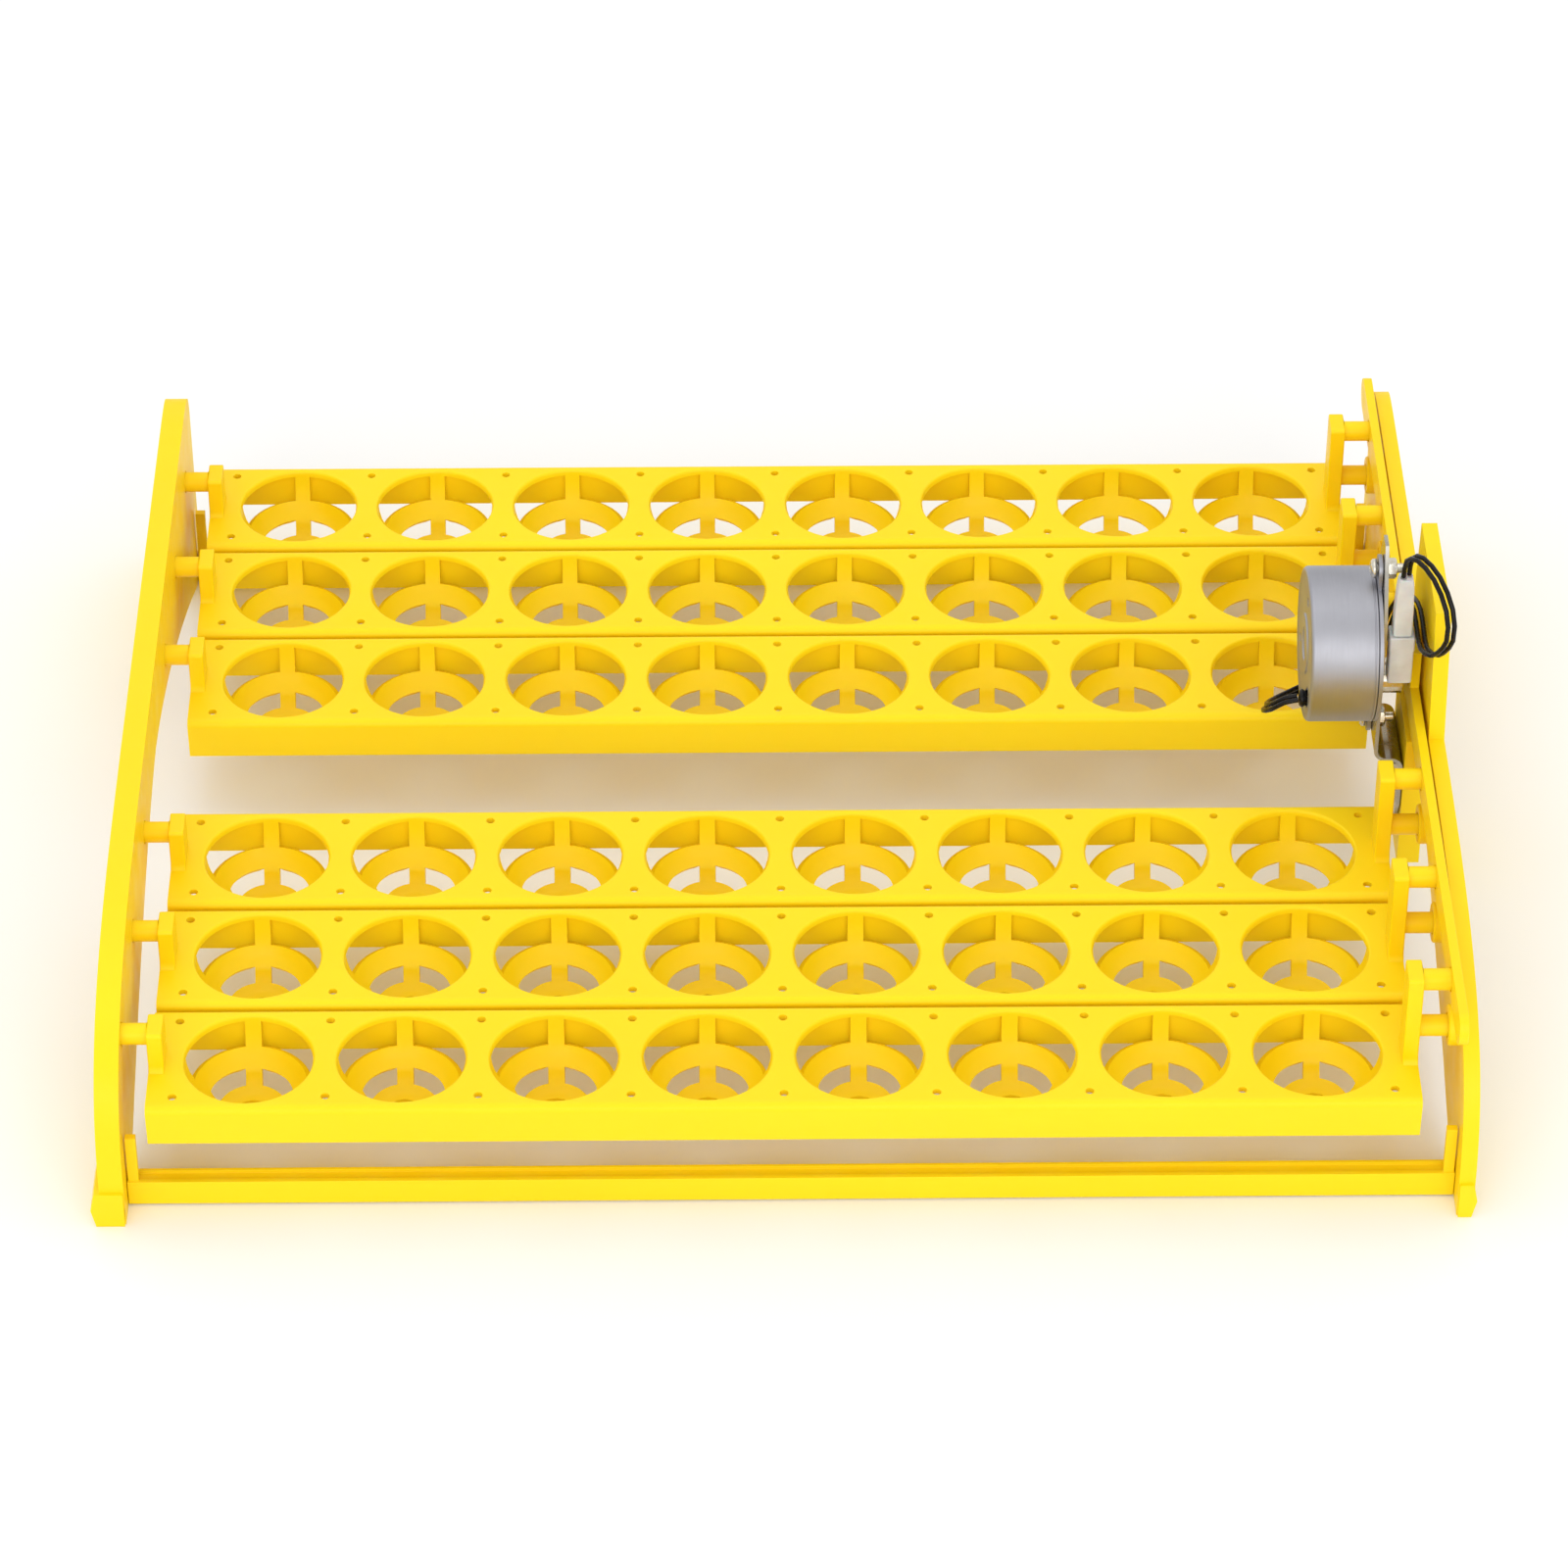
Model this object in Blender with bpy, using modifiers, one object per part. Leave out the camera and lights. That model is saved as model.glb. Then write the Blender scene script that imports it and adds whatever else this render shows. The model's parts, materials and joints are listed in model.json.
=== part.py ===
"""Motor-driven egg turning tray: six tilting rails of egg cups on one link bar.

Units are metres, +Z is up, X runs along the rails, +Y is the back.
The tray stands on Z = 0 and is centred on X = Y = 0.
"""
import math

import bmesh
import bpy
from mathutils import Matrix, Vector

MM = 0.001

# Rails and their cups
CUP_PITCH = 46.8 * MM
CUPS_PER_RAIL = 8
CUP_OPENING_R = 20.6 * MM
ROW_PITCH = 48.4 * MM
MIDDLE_GAP = 92.0 * MM
RAIL_HALF_LENGTH = 194.0 * MM
RAIL_WIDTH = 46.4 * MM
RAIL_APRON = 14.6 * MM
RAIL_DRAFT = 0.9 * MM
RAIL_SHEET = 1.8 * MM
RAIL_EDGE_R = 2.4 * MM
BAND_OUTER = (17.4 * MM, -10.5 * MM)
BAND_INNER = (12.9 * MM, -15.5 * MM)
SEAT_OUTER = (10.3 * MM, -20.0 * MM)
SEAT_INNER = (5.0 * MM, -21.6 * MM)
RIB_WIDTH = 5.0 * MM

# Pivots and link
PIVOT_Z = 53.0 * MM
RAIL_TOP = -10.4 * MM
LINK_ARM = 18.5 * MM
POST_THICK = 4.8 * MM
POST_HALF_WIDTH = 5.5 * MM
PIN_R = 3.4 * MM
BORE_R = 3.9 * MM
PIN_ROOT = 1.0 * MM
PIN_COVER = 3.8 * MM
LEFT_PIN_END = -204.6 * MM
RIGHT_PIN_END = 208.2 * MM
LINK_PIN_END = 205.2 * MM
BOSS_R = 6.4 * MM
BOSS_X = 202.7 * MM
LINK_X = (202.5 * MM, 205.4 * MM)
LINK_HALF_LENGTH = 170.0 * MM
LINK_HALF_HEIGHT = 5.6 * MM

# Side plates
PLATE_HALF_LENGTH = 171.0 * MM
PLATE_PEAK = 73.5 * MM
FRONT_SHAPE = (4.0, 0.304)
BACK_SHAPE = (24.0, 0.045)
ARCH_HALF_LENGTH = 154.0 * MM
ARCH_PEAK = 50.0 * MM
FLANGE_THICK = 2.4 * MM
LEFT_WALL_X = (-205.0 * MM, -202.0 * MM)
LEFT_FLANGE_X = (-209.5 * MM, -202.0 * MM)
RIGHT_WALL_X = (206.6 * MM, 209.1 * MM)
RIGHT_FLANGE_X = (206.6 * MM, 211.6 * MM)
FOOT_X = 212.5 * MM
FOOT_Y = (154.0 * MM, 172.0 * MM)
FOOT_HEIGHT = 13.0 * MM
PAD_X = 201.9 * MM
PAD_Z = (10.0 * MM, 60.5 * MM)
PAD_MARGIN = 2.0 * MM
BAR_Y = (156.0 * MM, 162.5 * MM)
BAR_HEIGHT = 9.5 * MM
BAR_X = (-201.8 * MM, 206.4 * MM)
BAR_TAB_TOP = 27.0 * MM

# Motor and drive
MOTOR_Y = 3.0 * MM
MOTOR_Z = 88.0 * MM
MOTOR_R = 25.0 * MM
MOTOR_X = (168.5 * MM, 190.2 * MM)
FACE_X = (190.4 * MM, 191.6 * MM)
EAR_SPACING = 30.0 * MM
EAR_R = 4.5 * MM
EAR_HOLE_R = 2.1 * MM
SHAFT_Z = 74.0 * MM
SHAFT_R = 3.0 * MM
CRANK_R = 9.25 * MM
BRACKET_SHEET = 1.2 * MM
BRACKET_Y = (-11.5 * MM, 17.5 * MM)
BRACKET_X = 191.9 * MM
SHELF_Z = 52.0 * MM
TAIL_X = 200.4 * MM
TAIL_Z = 12.0 * MM
BRACKET_SCREW_Z = (42.0 * MM, 26.0 * MM)
SCREW_HOLE_R = 1.9 * MM
TOWER_TOP = 118.0 * MM

# Connector and leads
SOCKET_LOW = (193.7 * MM, -14.0 * MM, 84.6 * MM)
SOCKET_HIGH = (201.9 * MM, -6.6 * MM, 102.6 * MM)
PLUG_LOW = (194.7 * MM, -13.2 * MM, 102.9 * MM)
PLUG_HIGH = (200.9 * MM, -7.4 * MM, 124.6 * MM)
LEAD_EXIT_Y = -10.0 * MM
LEAD_EXIT_Z = 76.0 * MM
LEAD_R = 0.8 * MM
LEAD_GAP = 2.2 * MM
LEAD_POINT_SPACING = 4.5 * MM
LEAD_KNOTS = (
    (166.2, -10.0, 76.0), (162.0, -10.0, 75.0), (158.5, -8.0, 71.0), (156.8, -2.5, 66.3),
    (158.5, 4.5, 62.2), (164.5, 11.5, 60.0), (174.0, 18.5, 59.6), (184.5, 23.4, 60.3),
    (192.5, 24.8, 64.5), (196.6, 24.4, 73.5), (198.6, 23.2, 84.0), (200.4, 18.5, 93.5),
    (202.6, 10.5, 100.5), (203.6, 0.0, 103.6), (203.6, -11.0, 103.6), (203.8, -21.0, 104.0),
    (206.2, -30.5, 108.8), (209.4, -36.0, 118.7), (208.8, -34.0, 129.1), (205.2, -26.0, 135.6),
    (200.8, -17.5, 136.7), (198.2, -12.0, 132.7), (197.8, -10.3, 125.1),
)

COLOURS = {
    "tray_plastic": ((0.95, 0.72, 0.01, 1.0), 0.32, 0.0),
    "zinc_steel": ((0.62, 0.60, 0.55, 1.0), 0.32, 1.0),
    "motor_steel": ((0.66, 0.66, 0.70, 1.0), 0.38, 1.0),
    "screw_steel": ((0.78, 0.76, 0.70, 1.0), 0.25, 1.0),
    "lead_sheath": ((0.015, 0.014, 0.014, 1.0), 0.45, 0.0),
    "connector_nylon": ((0.86, 0.86, 0.84, 1.0), 0.40, 0.0),
}


def clear_scene():
    for item in list(bpy.data.objects):
        bpy.data.objects.remove(item, do_unlink=True)


def make_collection(name):
    collection = bpy.data.collections.new(name)
    bpy.context.scene.collection.children.link(collection)
    return collection


def make_material(name):
    colour, roughness, metallic = COLOURS[name]
    material = bpy.data.materials.new(name)
    material.use_nodes = True
    shader = material.node_tree.nodes["Principled BSDF"]
    shader.inputs["Base Color"].default_value = colour
    shader.inputs["Roughness"].default_value = roughness
    shader.inputs["Metallic"].default_value = metallic
    material.diffuse_color = colour
    return material


def new_object(name, mesh, collection, material=None):
    item = bpy.data.objects.new(name, mesh)
    collection.objects.link(item)
    if material is not None:
        mesh.materials.clear()
        mesh.materials.append(material)
    return item


def mesh_from(bm, name):
    bmesh.ops.recalc_face_normals(bm, faces=bm.faces)
    mesh = bpy.data.meshes.new(name)
    bm.to_mesh(mesh)
    bm.free()
    return mesh


def box_mesh(name, low, high):
    low = Vector(low)
    high = Vector(high)
    bm = bmesh.new()
    bmesh.ops.create_cube(bm, size=1.0)
    size = high - low
    bmesh.ops.scale(bm, vec=size, verts=bm.verts)
    bmesh.ops.translate(bm, vec=(low + high) / 2.0, verts=bm.verts)
    return mesh_from(bm, name)


def round_bar_mesh(name, x_low, x_high, y, z, radius, segments=16):
    """A cylinder lying along X."""
    bm = bmesh.new()
    bmesh.ops.create_cone(bm, cap_ends=True, segments=segments, radius1=radius, radius2=radius,
                          depth=x_high - x_low)
    turn = Matrix.Rotation(math.pi / 2.0, 4, "Y")
    bmesh.ops.transform(bm, matrix=turn, verts=bm.verts)
    centre = Vector(((x_low + x_high) / 2.0, y, z))
    bmesh.ops.translate(bm, vec=centre, verts=bm.verts)
    return mesh_from(bm, name)


def prism_mesh(name, outline, plane, low, high):
    """Extrude a closed outline: plane YZ runs along X, plane XZ along Y."""
    bm = bmesh.new()
    corners = []
    for a, b in outline:
        if plane == "YZ":
            corners.append(bm.verts.new((low, a, b)))
        else:
            corners.append(bm.verts.new((a, low, b)))
    face = bm.faces.new(corners)
    grown = bmesh.ops.extrude_face_region(bm, geom=[face])
    moved = [v for v in grown["geom"] if isinstance(v, bmesh.types.BMVert)]
    along = (high - low, 0.0, 0.0) if plane == "YZ" else (0.0, high - low, 0.0)
    bmesh.ops.translate(bm, vec=along, verts=moved)
    return mesh_from(bm, name)


def boolean(target, tool, operation):
    modifier = target.modifiers.new(operation.lower() + "_" + tool.name, "BOOLEAN")
    modifier.operation = operation
    modifier.solver = "EXACT"
    modifier.object = tool


class Shop:
    """Holds the collections and materials and makes the finished pieces."""

    def __init__(self):
        self.parts = make_collection("egg_turning_tray")
        self.cutters = make_collection("cutters")
        self.materials = {name: make_material(name) for name in COLOURS}

    def part(self, name, mesh, material, origin=(0.0, 0.0, 0.0)):
        item = new_object(name, mesh, self.parts, self.materials[material])
        offset = Vector(origin)
        mesh.transform(Matrix.Translation(-offset))
        item.location = offset
        return item

    def tool(self, name, mesh):
        item = new_object(name, mesh, self.cutters)
        item.hide_render = True
        item.display_type = "WIRE"
        return item

    def add(self, target, mesh):
        tool = self.tool(target.name + "_add_" + str(len(target.modifiers)), mesh)
        boolean(target, tool, "UNION")
        return tool

    def cut(self, target, mesh):
        tool = self.tool(target.name + "_cut_" + str(len(target.modifiers)), mesh)
        boolean(target, tool, "DIFFERENCE")
        return tool


def row_positions():
    inner = MIDDLE_GAP / 2.0
    back = [inner + 2.0 * ROW_PITCH, inner + ROW_PITCH, inner]
    return back + [-y for y in reversed(back)]


def level_points(radius, z, centre, corner=True):
    """Points of one cup level: both edges of each rib and a corner between ribs."""
    half = math.asin(min(RIB_WIDTH / 2.0 / radius, 0.5))
    points = []
    for quarter in range(4):
        middle = math.pi / 2.0 * quarter
        angles = [middle - half, middle + half]
        if corner:
            angles.append(middle + math.pi / 4.0)
        for angle in angles:
            points.append(centre + Vector((radius * math.cos(angle), radius * math.sin(angle), z)))
    return points


def add_loop(bm, points):
    return [bm.verts.new(point) for point in points]


def close_loop(bm, corners):
    return [bm.edges.new((corners[i - 1], corners[i])) for i in range(len(corners))]


def join_all_round(bm, upper, lower):
    for i in range(len(upper)):
        j = (i + 1) % len(upper)
        bm.faces.new((upper[i], lower[i], lower[j], upper[j]))


def join_at_ribs(bm, upper, lower):
    upper_step = len(upper) // 4
    lower_step = len(lower) // 4
    for quarter in range(4):
        i = quarter * upper_step
        j = quarter * lower_step
        bm.faces.new((upper[i], lower[j], lower[j + 1], upper[i + 1]))


def add_cup(bm, centre):
    """A basket under one opening: ribs, a sloped band and a sloped seat."""
    rim = add_loop(bm, level_points(CUP_OPENING_R, 0.0, centre))
    band_outer = add_loop(bm, level_points(*BAND_OUTER, centre))
    band_inner = add_loop(bm, level_points(*BAND_INNER, centre))
    seat_outer = add_loop(bm, level_points(*SEAT_OUTER, centre, corner=False))
    seat_inner = add_loop(bm, level_points(*SEAT_INNER, centre, corner=False))
    join_at_ribs(bm, rim, band_outer)
    join_all_round(bm, band_outer, band_inner)
    join_at_ribs(bm, band_inner, seat_outer)
    join_all_round(bm, seat_outer, seat_inner)
    return close_missing_edges(bm, rim)


def close_missing_edges(bm, corners):
    edges = []
    for i, corner in enumerate(corners):
        other = corners[(i + 1) % len(corners)]
        edges.append(bm.edges.get((corner, other)) or bm.edges.new((corner, other)))
    return edges


def apron_profile():
    """Half of the rail's section from the roof's edge round to the apron's foot."""
    half = RAIL_WIDTH / 2.0
    profile = [(half - RAIL_EDGE_R, 0.0)]
    for step in (1, 2):
        angle = math.pi / 4.0 * step
        profile.append((half - RAIL_EDGE_R + RAIL_EDGE_R * math.sin(angle),
                        -RAIL_EDGE_R + RAIL_EDGE_R * math.cos(angle)))
    profile.append((half - RAIL_DRAFT, -RAIL_APRON))
    return profile


def add_apron(bm, first, last, section, row_y, top):
    """Carry one side of the roof down to the apron's foot; gives the corners at each end."""
    at_first = [first]
    at_last = [last]
    for y, z in section:
        at_first.append(bm.verts.new((first.co.x, row_y + y, top + z)))
        at_last.append(bm.verts.new((last.co.x, row_y + y, top + z)))
        bm.faces.new((at_first[-2], at_last[-2], at_last[-1], at_first[-1]))
    return at_first, at_last


def rail_surface(row_y):
    """The rail's outer skin: roof with openings, rolled edges, aprons, end walls and cups."""
    bm = bmesh.new()
    top = PIVOT_Z + RAIL_TOP
    end = RAIL_HALF_LENGTH
    profile = apron_profile()
    roof_y = profile[0][0]
    roof = add_loop(bm, [Vector((x, row_y + y, top)) for x, y in
                         ((-end, -roof_y), (end, -roof_y), (end, roof_y), (-end, roof_y))])
    edges = close_loop(bm, roof)
    first = -(CUPS_PER_RAIL - 1) / 2.0 * CUP_PITCH
    for index in range(CUPS_PER_RAIL):
        edges += add_cup(bm, Vector((first + index * CUP_PITCH, row_y, top)))
    bmesh.ops.triangle_fill(bm, edges=edges, use_beauty=True, use_dissolve=False)
    section = [(-y, z) for y, z in profile[1:]]
    front_left, front_right = add_apron(bm, roof[0], roof[1], section, row_y, top)
    back_right, back_left = add_apron(bm, roof[2], roof[3], profile[1:], row_y, top)
    bm.faces.new(front_left + list(reversed(back_left)))
    bm.faces.new(front_right + list(reversed(back_right)))
    bmesh.ops.recalc_face_normals(bm, faces=bm.faces)
    roof_faces = [face for face in bm.faces if min(v.co.z for v in face.verts) > top - 0.1 * MM]
    if roof_faces[0].normal.z < 0.0:
        bmesh.ops.reverse_faces(bm, faces=bm.faces)
    mesh = bpy.data.meshes.new("rail")
    bm.to_mesh(mesh)
    bm.free()
    return mesh


def make_rail(shop, number, row_y):
    rail = shop.part("rail_%d" % number, rail_surface(row_y), "tray_plastic")
    sheet = rail.modifiers.new("sheet", "SOLIDIFY")
    sheet.thickness = RAIL_SHEET
    sheet.offset = -1.0
    sheet.use_even_offset = True
    base = PIVOT_Z + RAIL_TOP - RAIL_SHEET / 2.0
    front = row_y - POST_HALF_WIDTH
    back = row_y + POST_HALF_WIDTH
    end = RAIL_HALF_LENGTH
    link_z = PIVOT_Z + LINK_ARM
    shop.add(rail, box_mesh("tab", (-end, front, base), (POST_THICK - end, back, PIVOT_Z + PIN_COVER)))
    shop.add(rail, box_mesh("post", (end - POST_THICK, front, base), (end, back, link_z + PIN_COVER)))
    shop.add(rail, round_bar_mesh("pin", LEFT_PIN_END, PIN_ROOT - end, row_y, PIVOT_Z, PIN_R, 12))
    shop.add(rail, round_bar_mesh("pin", end - PIN_ROOT, RIGHT_PIN_END, row_y, PIVOT_Z, PIN_R, 12))
    shop.add(rail, round_bar_mesh("pin", end - PIN_ROOT, LINK_PIN_END, row_y, link_z, PIN_R, 12))
    set_origin(rail, (0.0, row_y, PIVOT_Z))
    return rail


def set_origin(item, point):
    """Move an object's origin without moving its shape."""
    offset = Vector(point) - item.location
    item.data.transform(Matrix.Translation(-offset))
    item.location = Vector(point)


def top_edge(y):
    """Height of a side plate: arched towards the front, square at the back."""
    power, root = BACK_SHAPE if y > 0.0 else FRONT_SHAPE
    share = min(abs(y) / PLATE_HALF_LENGTH, 1.0)
    return PLATE_PEAK * max(1.0 - share ** power, 0.0) ** root


def lower_edge(y):
    share = min(abs(y) / ARCH_HALF_LENGTH, 1.0)
    return ARCH_PEAK * (1.0 - share ** 1.5)


def plate_stations():
    """Half-plate stations, closer together where the plate turns down to its foot."""
    return [PLATE_HALF_LENGTH * math.sin(math.pi / 2.0 * step / 12.0) for step in range(13)]


def plate_outline():
    stations = plate_stations()
    across = [-y for y in reversed(stations)] + stations[1:]
    top = [(y, top_edge(y)) for y in across]
    span = [ARCH_HALF_LENGTH * (step / 6.0) for step in range(7)]
    back = [-y for y in reversed(span)] + span[1:]
    arch = [(y, lower_edge(y)) for y in reversed(back)]
    return top + arch


def flange_outline():
    stations = plate_stations()[:-1]
    across = [-y for y in reversed(stations)] + stations[1:]
    foot_z = FOOT_HEIGHT / 2.0
    crest = [(y, top_edge(y)) for y in across]
    outer = [(-PLATE_HALF_LENGTH, foot_z)] + crest + [(PLATE_HALF_LENGTH, foot_z)]
    scale = 1.0 - FLANGE_THICK / PLATE_HALF_LENGTH
    inner = [(y * scale, max(z - FLANGE_THICK, foot_z)) for y, z in outer]
    return outer + list(reversed(inner))


def make_side_plate(shop, name, wall_x, flange_x, foot_x):
    wall = prism_mesh("wall", plate_outline(), "YZ", wall_x[0], wall_x[1])
    plate = shop.part(name, wall, "tray_plastic")
    shop.add(plate, prism_mesh("flange", flange_outline(), "YZ", flange_x[0], flange_x[1]))
    for side in (-1.0, 1.0):
        low_y, high_y = sorted(side * y for y in FOOT_Y)
        shop.add(plate, box_mesh("foot", (foot_x[0], low_y, 0.0), (foot_x[1], high_y, FOOT_HEIGHT)))
    return plate


def make_left_plate(shop):
    plate = make_side_plate(shop, "side_plate_left", LEFT_WALL_X, LEFT_FLANGE_X, (-FOOT_X, -202.3 * MM))
    for y in row_positions():
        shop.cut(plate, round_bar_mesh("bore", -207.0 * MM, -201.0 * MM, y, PIVOT_Z, BORE_R, 12))
    return plate


def tower_outline():
    low = 66.0 * MM
    return [(-30.0 * MM, low), (33.0 * MM, low), (27.0 * MM, TOWER_TOP), (-21.0 * MM, TOWER_TOP)]


def tower_rim_outline():
    """The tower's edge flange, a band that follows its front, top and back."""
    t = FLANGE_THICK
    base = top_edge(0.0) - 1.5 * MM
    return [(-29.0 * MM, base), (-21.0 * MM, TOWER_TOP), (27.0 * MM, TOWER_TOP), (32.0 * MM, base),
            (32.0 * MM - t, base), (27.0 * MM - t, TOWER_TOP - t), (t - 21.0 * MM, TOWER_TOP - t),
            (t - 29.0 * MM, base)]


def make_right_plate(shop):
    foot_x = (206.9 * MM, FOOT_X)
    plate = make_side_plate(shop, "side_plate_right", RIGHT_WALL_X, RIGHT_FLANGE_X, foot_x)
    shop.add(plate, prism_mesh("tower", tower_outline(), "YZ", *RIGHT_WALL_X))
    shop.add(plate, prism_mesh("tower_rim", tower_rim_outline(), "YZ", *RIGHT_FLANGE_X))
    pad_low = (PAD_X, BRACKET_Y[0] - PAD_MARGIN, PAD_Z[0])
    pad_high = (RIGHT_WALL_X[1], BRACKET_Y[1] + PAD_MARGIN, PAD_Z[1])
    shop.add(plate, box_mesh("bracket_pad", pad_low, pad_high))
    for y in row_positions():
        boss = round_bar_mesh("boss", BOSS_X, RIGHT_WALL_X[0] + MM, y, PIVOT_Z, BOSS_R, 12)
        shop.add(plate, boss)
    for y in row_positions():
        shop.cut(plate, round_bar_mesh("bore", 201.0 * MM, 210.0 * MM, y, PIVOT_Z, BORE_R, 12))
    for z in BRACKET_SCREW_Z:
        hole = round_bar_mesh("screw_hole", 200.0 * MM, 207.0 * MM, MOTOR_Y, z, SCREW_HOLE_R, 10)
        shop.cut(plate, hole)
    return plate


def make_crossbar(shop, name, side):
    low_y, high_y = sorted(side * y for y in BAR_Y)
    left, right = BAR_X
    body = box_mesh("bar", (left, low_y, 0.6 * MM), (right, high_y, BAR_HEIGHT))
    bar = shop.part(name, body, "tray_plastic")
    tab_y = side * (BAR_Y[1] - 1.8 * MM)
    for x_low, x_high in ((left + 0.3 * MM, left + 3.6 * MM), (right - 3.6 * MM, right - 0.3 * MM)):
        low = (x_low, tab_y - 1.2 * MM, BAR_HEIGHT - 2.0 * MM)
        high = (x_high, tab_y + 1.2 * MM, BAR_TAB_TOP)
        shop.add(bar, box_mesh("end_tab", low, high))
    return bar


def make_link_bar(shop):
    z = PIVOT_Z + LINK_ARM
    low_z, high_z = z - LINK_HALF_HEIGHT, z + LINK_HALF_HEIGHT
    straight = LINK_HALF_LENGTH - LINK_HALF_HEIGHT
    body = box_mesh("link", (LINK_X[0], -straight, low_z), (LINK_X[1], straight, high_z))
    link = shop.part("link_bar", body, "tray_plastic")
    for y in (-straight, straight):
        shop.add(link, round_bar_mesh("link_end", LINK_X[0], LINK_X[1], y, z, LINK_HALF_HEIGHT, 12))
    lug_low = (LINK_X[0], MOTOR_Y - 9.5 * MM, z)
    lug_high = (LINK_X[1], MOTOR_Y + 9.5 * MM, 91.0 * MM)
    shop.add(link, box_mesh("lug", lug_low, lug_high))
    slot_low = (LINK_X[0] - MM, MOTOR_Y - 4.2 * MM, 73.9 * MM)
    slot_high = (LINK_X[1] + MM, MOTOR_Y + 4.2 * MM, 85.8 * MM)
    shop.cut(link, box_mesh("slot", slot_low, slot_high))
    for y in row_positions():
        shop.cut(link, round_bar_mesh("bore", LINK_X[0] - MM, LINK_X[1] + MM, y, z, BORE_R, 12))
    set_origin(link, (LINK_X[0], row_positions()[0], z))
    return link


def bend(centre_x, centre_z, radius, start, stop):
    points = []
    for step in range(4):
        angle = math.radians(start + (stop - start) * step / 3.0)
        points.append((centre_x + radius * math.cos(angle), centre_z + radius * math.sin(angle)))
    return points


def bracket_outline():
    """Z-bent sheet seen along Y: upright, outward shelf, then the tail."""
    t = BRACKET_SHEET
    r = 3.0 * MM
    x = BRACKET_X
    top = MOTOR_Z + 41.0 * MM
    shelf = SHELF_Z
    knee = (x + t + r, shelf + r)
    heel = (TAIL_X - r, shelf - t - r)
    inside = [(x + t, top), (x + t, shelf + r)] + bend(knee[0], knee[1], r, 180, 270)
    outside = bend(heel[0], heel[1], r + t, 90, 0)
    tail = [(TAIL_X + t, TAIL_Z), (TAIL_X, TAIL_Z)]
    back = bend(heel[0], heel[1], r, 0, 90)
    under = bend(knee[0], knee[1], r + t, 270, 180)
    return inside[1:] + outside + tail + back + under + [(x, top), (x + t, top)]


def wedge_mesh(near_y, far_y, z_base, z_tip):
    """A cutter that slopes from one edge of the sheet towards its centre."""
    outline = [(near_y, z_base), (far_y, z_tip), (near_y * 4.0 - far_y * 3.0, z_tip),
               (near_y * 4.0 - far_y * 3.0, z_base)]
    return prism_mesh("wedge", outline, "YZ", 185.0 * MM, 215.0 * MM)


def make_bracket(shop):
    low_y, high_y = BRACKET_Y
    sheet = prism_mesh("sheet", bracket_outline(), "XZ", low_y, high_y)
    bracket = shop.part("motor_bracket", sheet, "zinc_steel")
    ear_base = MOTOR_Z + 16.0 * MM
    ear_tip = MOTOR_Z + 42.0 * MM
    shop.cut(bracket, wedge_mesh(low_y - 0.5 * MM, MOTOR_Y - 2.5 * MM, ear_base, ear_tip))
    shop.cut(bracket, wedge_mesh(high_y + 0.5 * MM, MOTOR_Y + 2.5 * MM, ear_base, ear_tip))
    shop.cut(bracket, wedge_mesh(low_y - 0.5 * MM, MOTOR_Y - 4.0 * MM, 34.0 * MM, TAIL_Z - MM))
    shop.cut(bracket, wedge_mesh(high_y + 0.5 * MM, MOTOR_Y + 4.0 * MM, 34.0 * MM, TAIL_Z - MM))
    for z in ear_heights():
        hole = round_bar_mesh("bolt_hole", 190.0 * MM, 195.0 * MM, MOTOR_Y, z, EAR_HOLE_R, 12)
        shop.cut(bracket, hole)
    hole = round_bar_mesh("shaft_hole", 190.0 * MM, 195.0 * MM, MOTOR_Y, SHAFT_Z, 5.6 * MM, 16)
    shop.cut(bracket, hole)
    for z in BRACKET_SCREW_Z:
        hole = round_bar_mesh("screw_hole", 199.0 * MM, 203.0 * MM, MOTOR_Y, z, SCREW_HOLE_R, 10)
        shop.cut(bracket, hole)
    return bracket


def ear_heights():
    return (MOTOR_Z + EAR_SPACING, MOTOR_Z - EAR_SPACING)


def make_motor_can(shop):
    body = round_bar_mesh("can", *MOTOR_X, MOTOR_Y, MOTOR_Z, MOTOR_R, 32)
    can = shop.part("motor_can", body, "motor_steel")
    edge = can.modifiers.new("rim_round", "BEVEL")
    edge.width = 1.2 * MM
    edge.segments = 1
    edge.limit_method = "ANGLE"
    edge.angle_limit = math.radians(40)
    hole = round_bar_mesh("lead_hole", 167.0 * MM, 172.5 * MM, LEAD_EXIT_Y, LEAD_EXIT_Z, 3.2 * MM, 12)
    shop.cut(can, hole)
    return can


def make_motor_face(shop):
    """The can's cover disc with its two round-ended ears."""
    disc = round_bar_mesh("face", *FACE_X, MOTOR_Y, MOTOR_Z, MOTOR_R, 32)
    face = shop.part("motor_face", disc, "motor_steel")
    ear_root = EAR_SPACING * 0.7
    for side, z in zip((1.0, -1.0), ear_heights()):
        low_z, high_z = sorted((z, MOTOR_Z + side * ear_root))
        low = (FACE_X[0], MOTOR_Y - EAR_R, low_z)
        high = (FACE_X[1], MOTOR_Y + EAR_R, high_z)
        shop.add(face, box_mesh("ear", low, high))
        shop.add(face, round_bar_mesh("ear_end", *FACE_X, MOTOR_Y, z, EAR_R, 16))
    for z in ear_heights():
        shop.cut(face, round_bar_mesh("ear_hole", 189.0 * MM, 193.0 * MM, MOTOR_Y, z, EAR_HOLE_R, 12))
    hole = round_bar_mesh("shaft_hole", 189.0 * MM, 193.0 * MM, MOTOR_Y, SHAFT_Z, 5.0 * MM, 16)
    shop.cut(face, hole)
    return face


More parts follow.
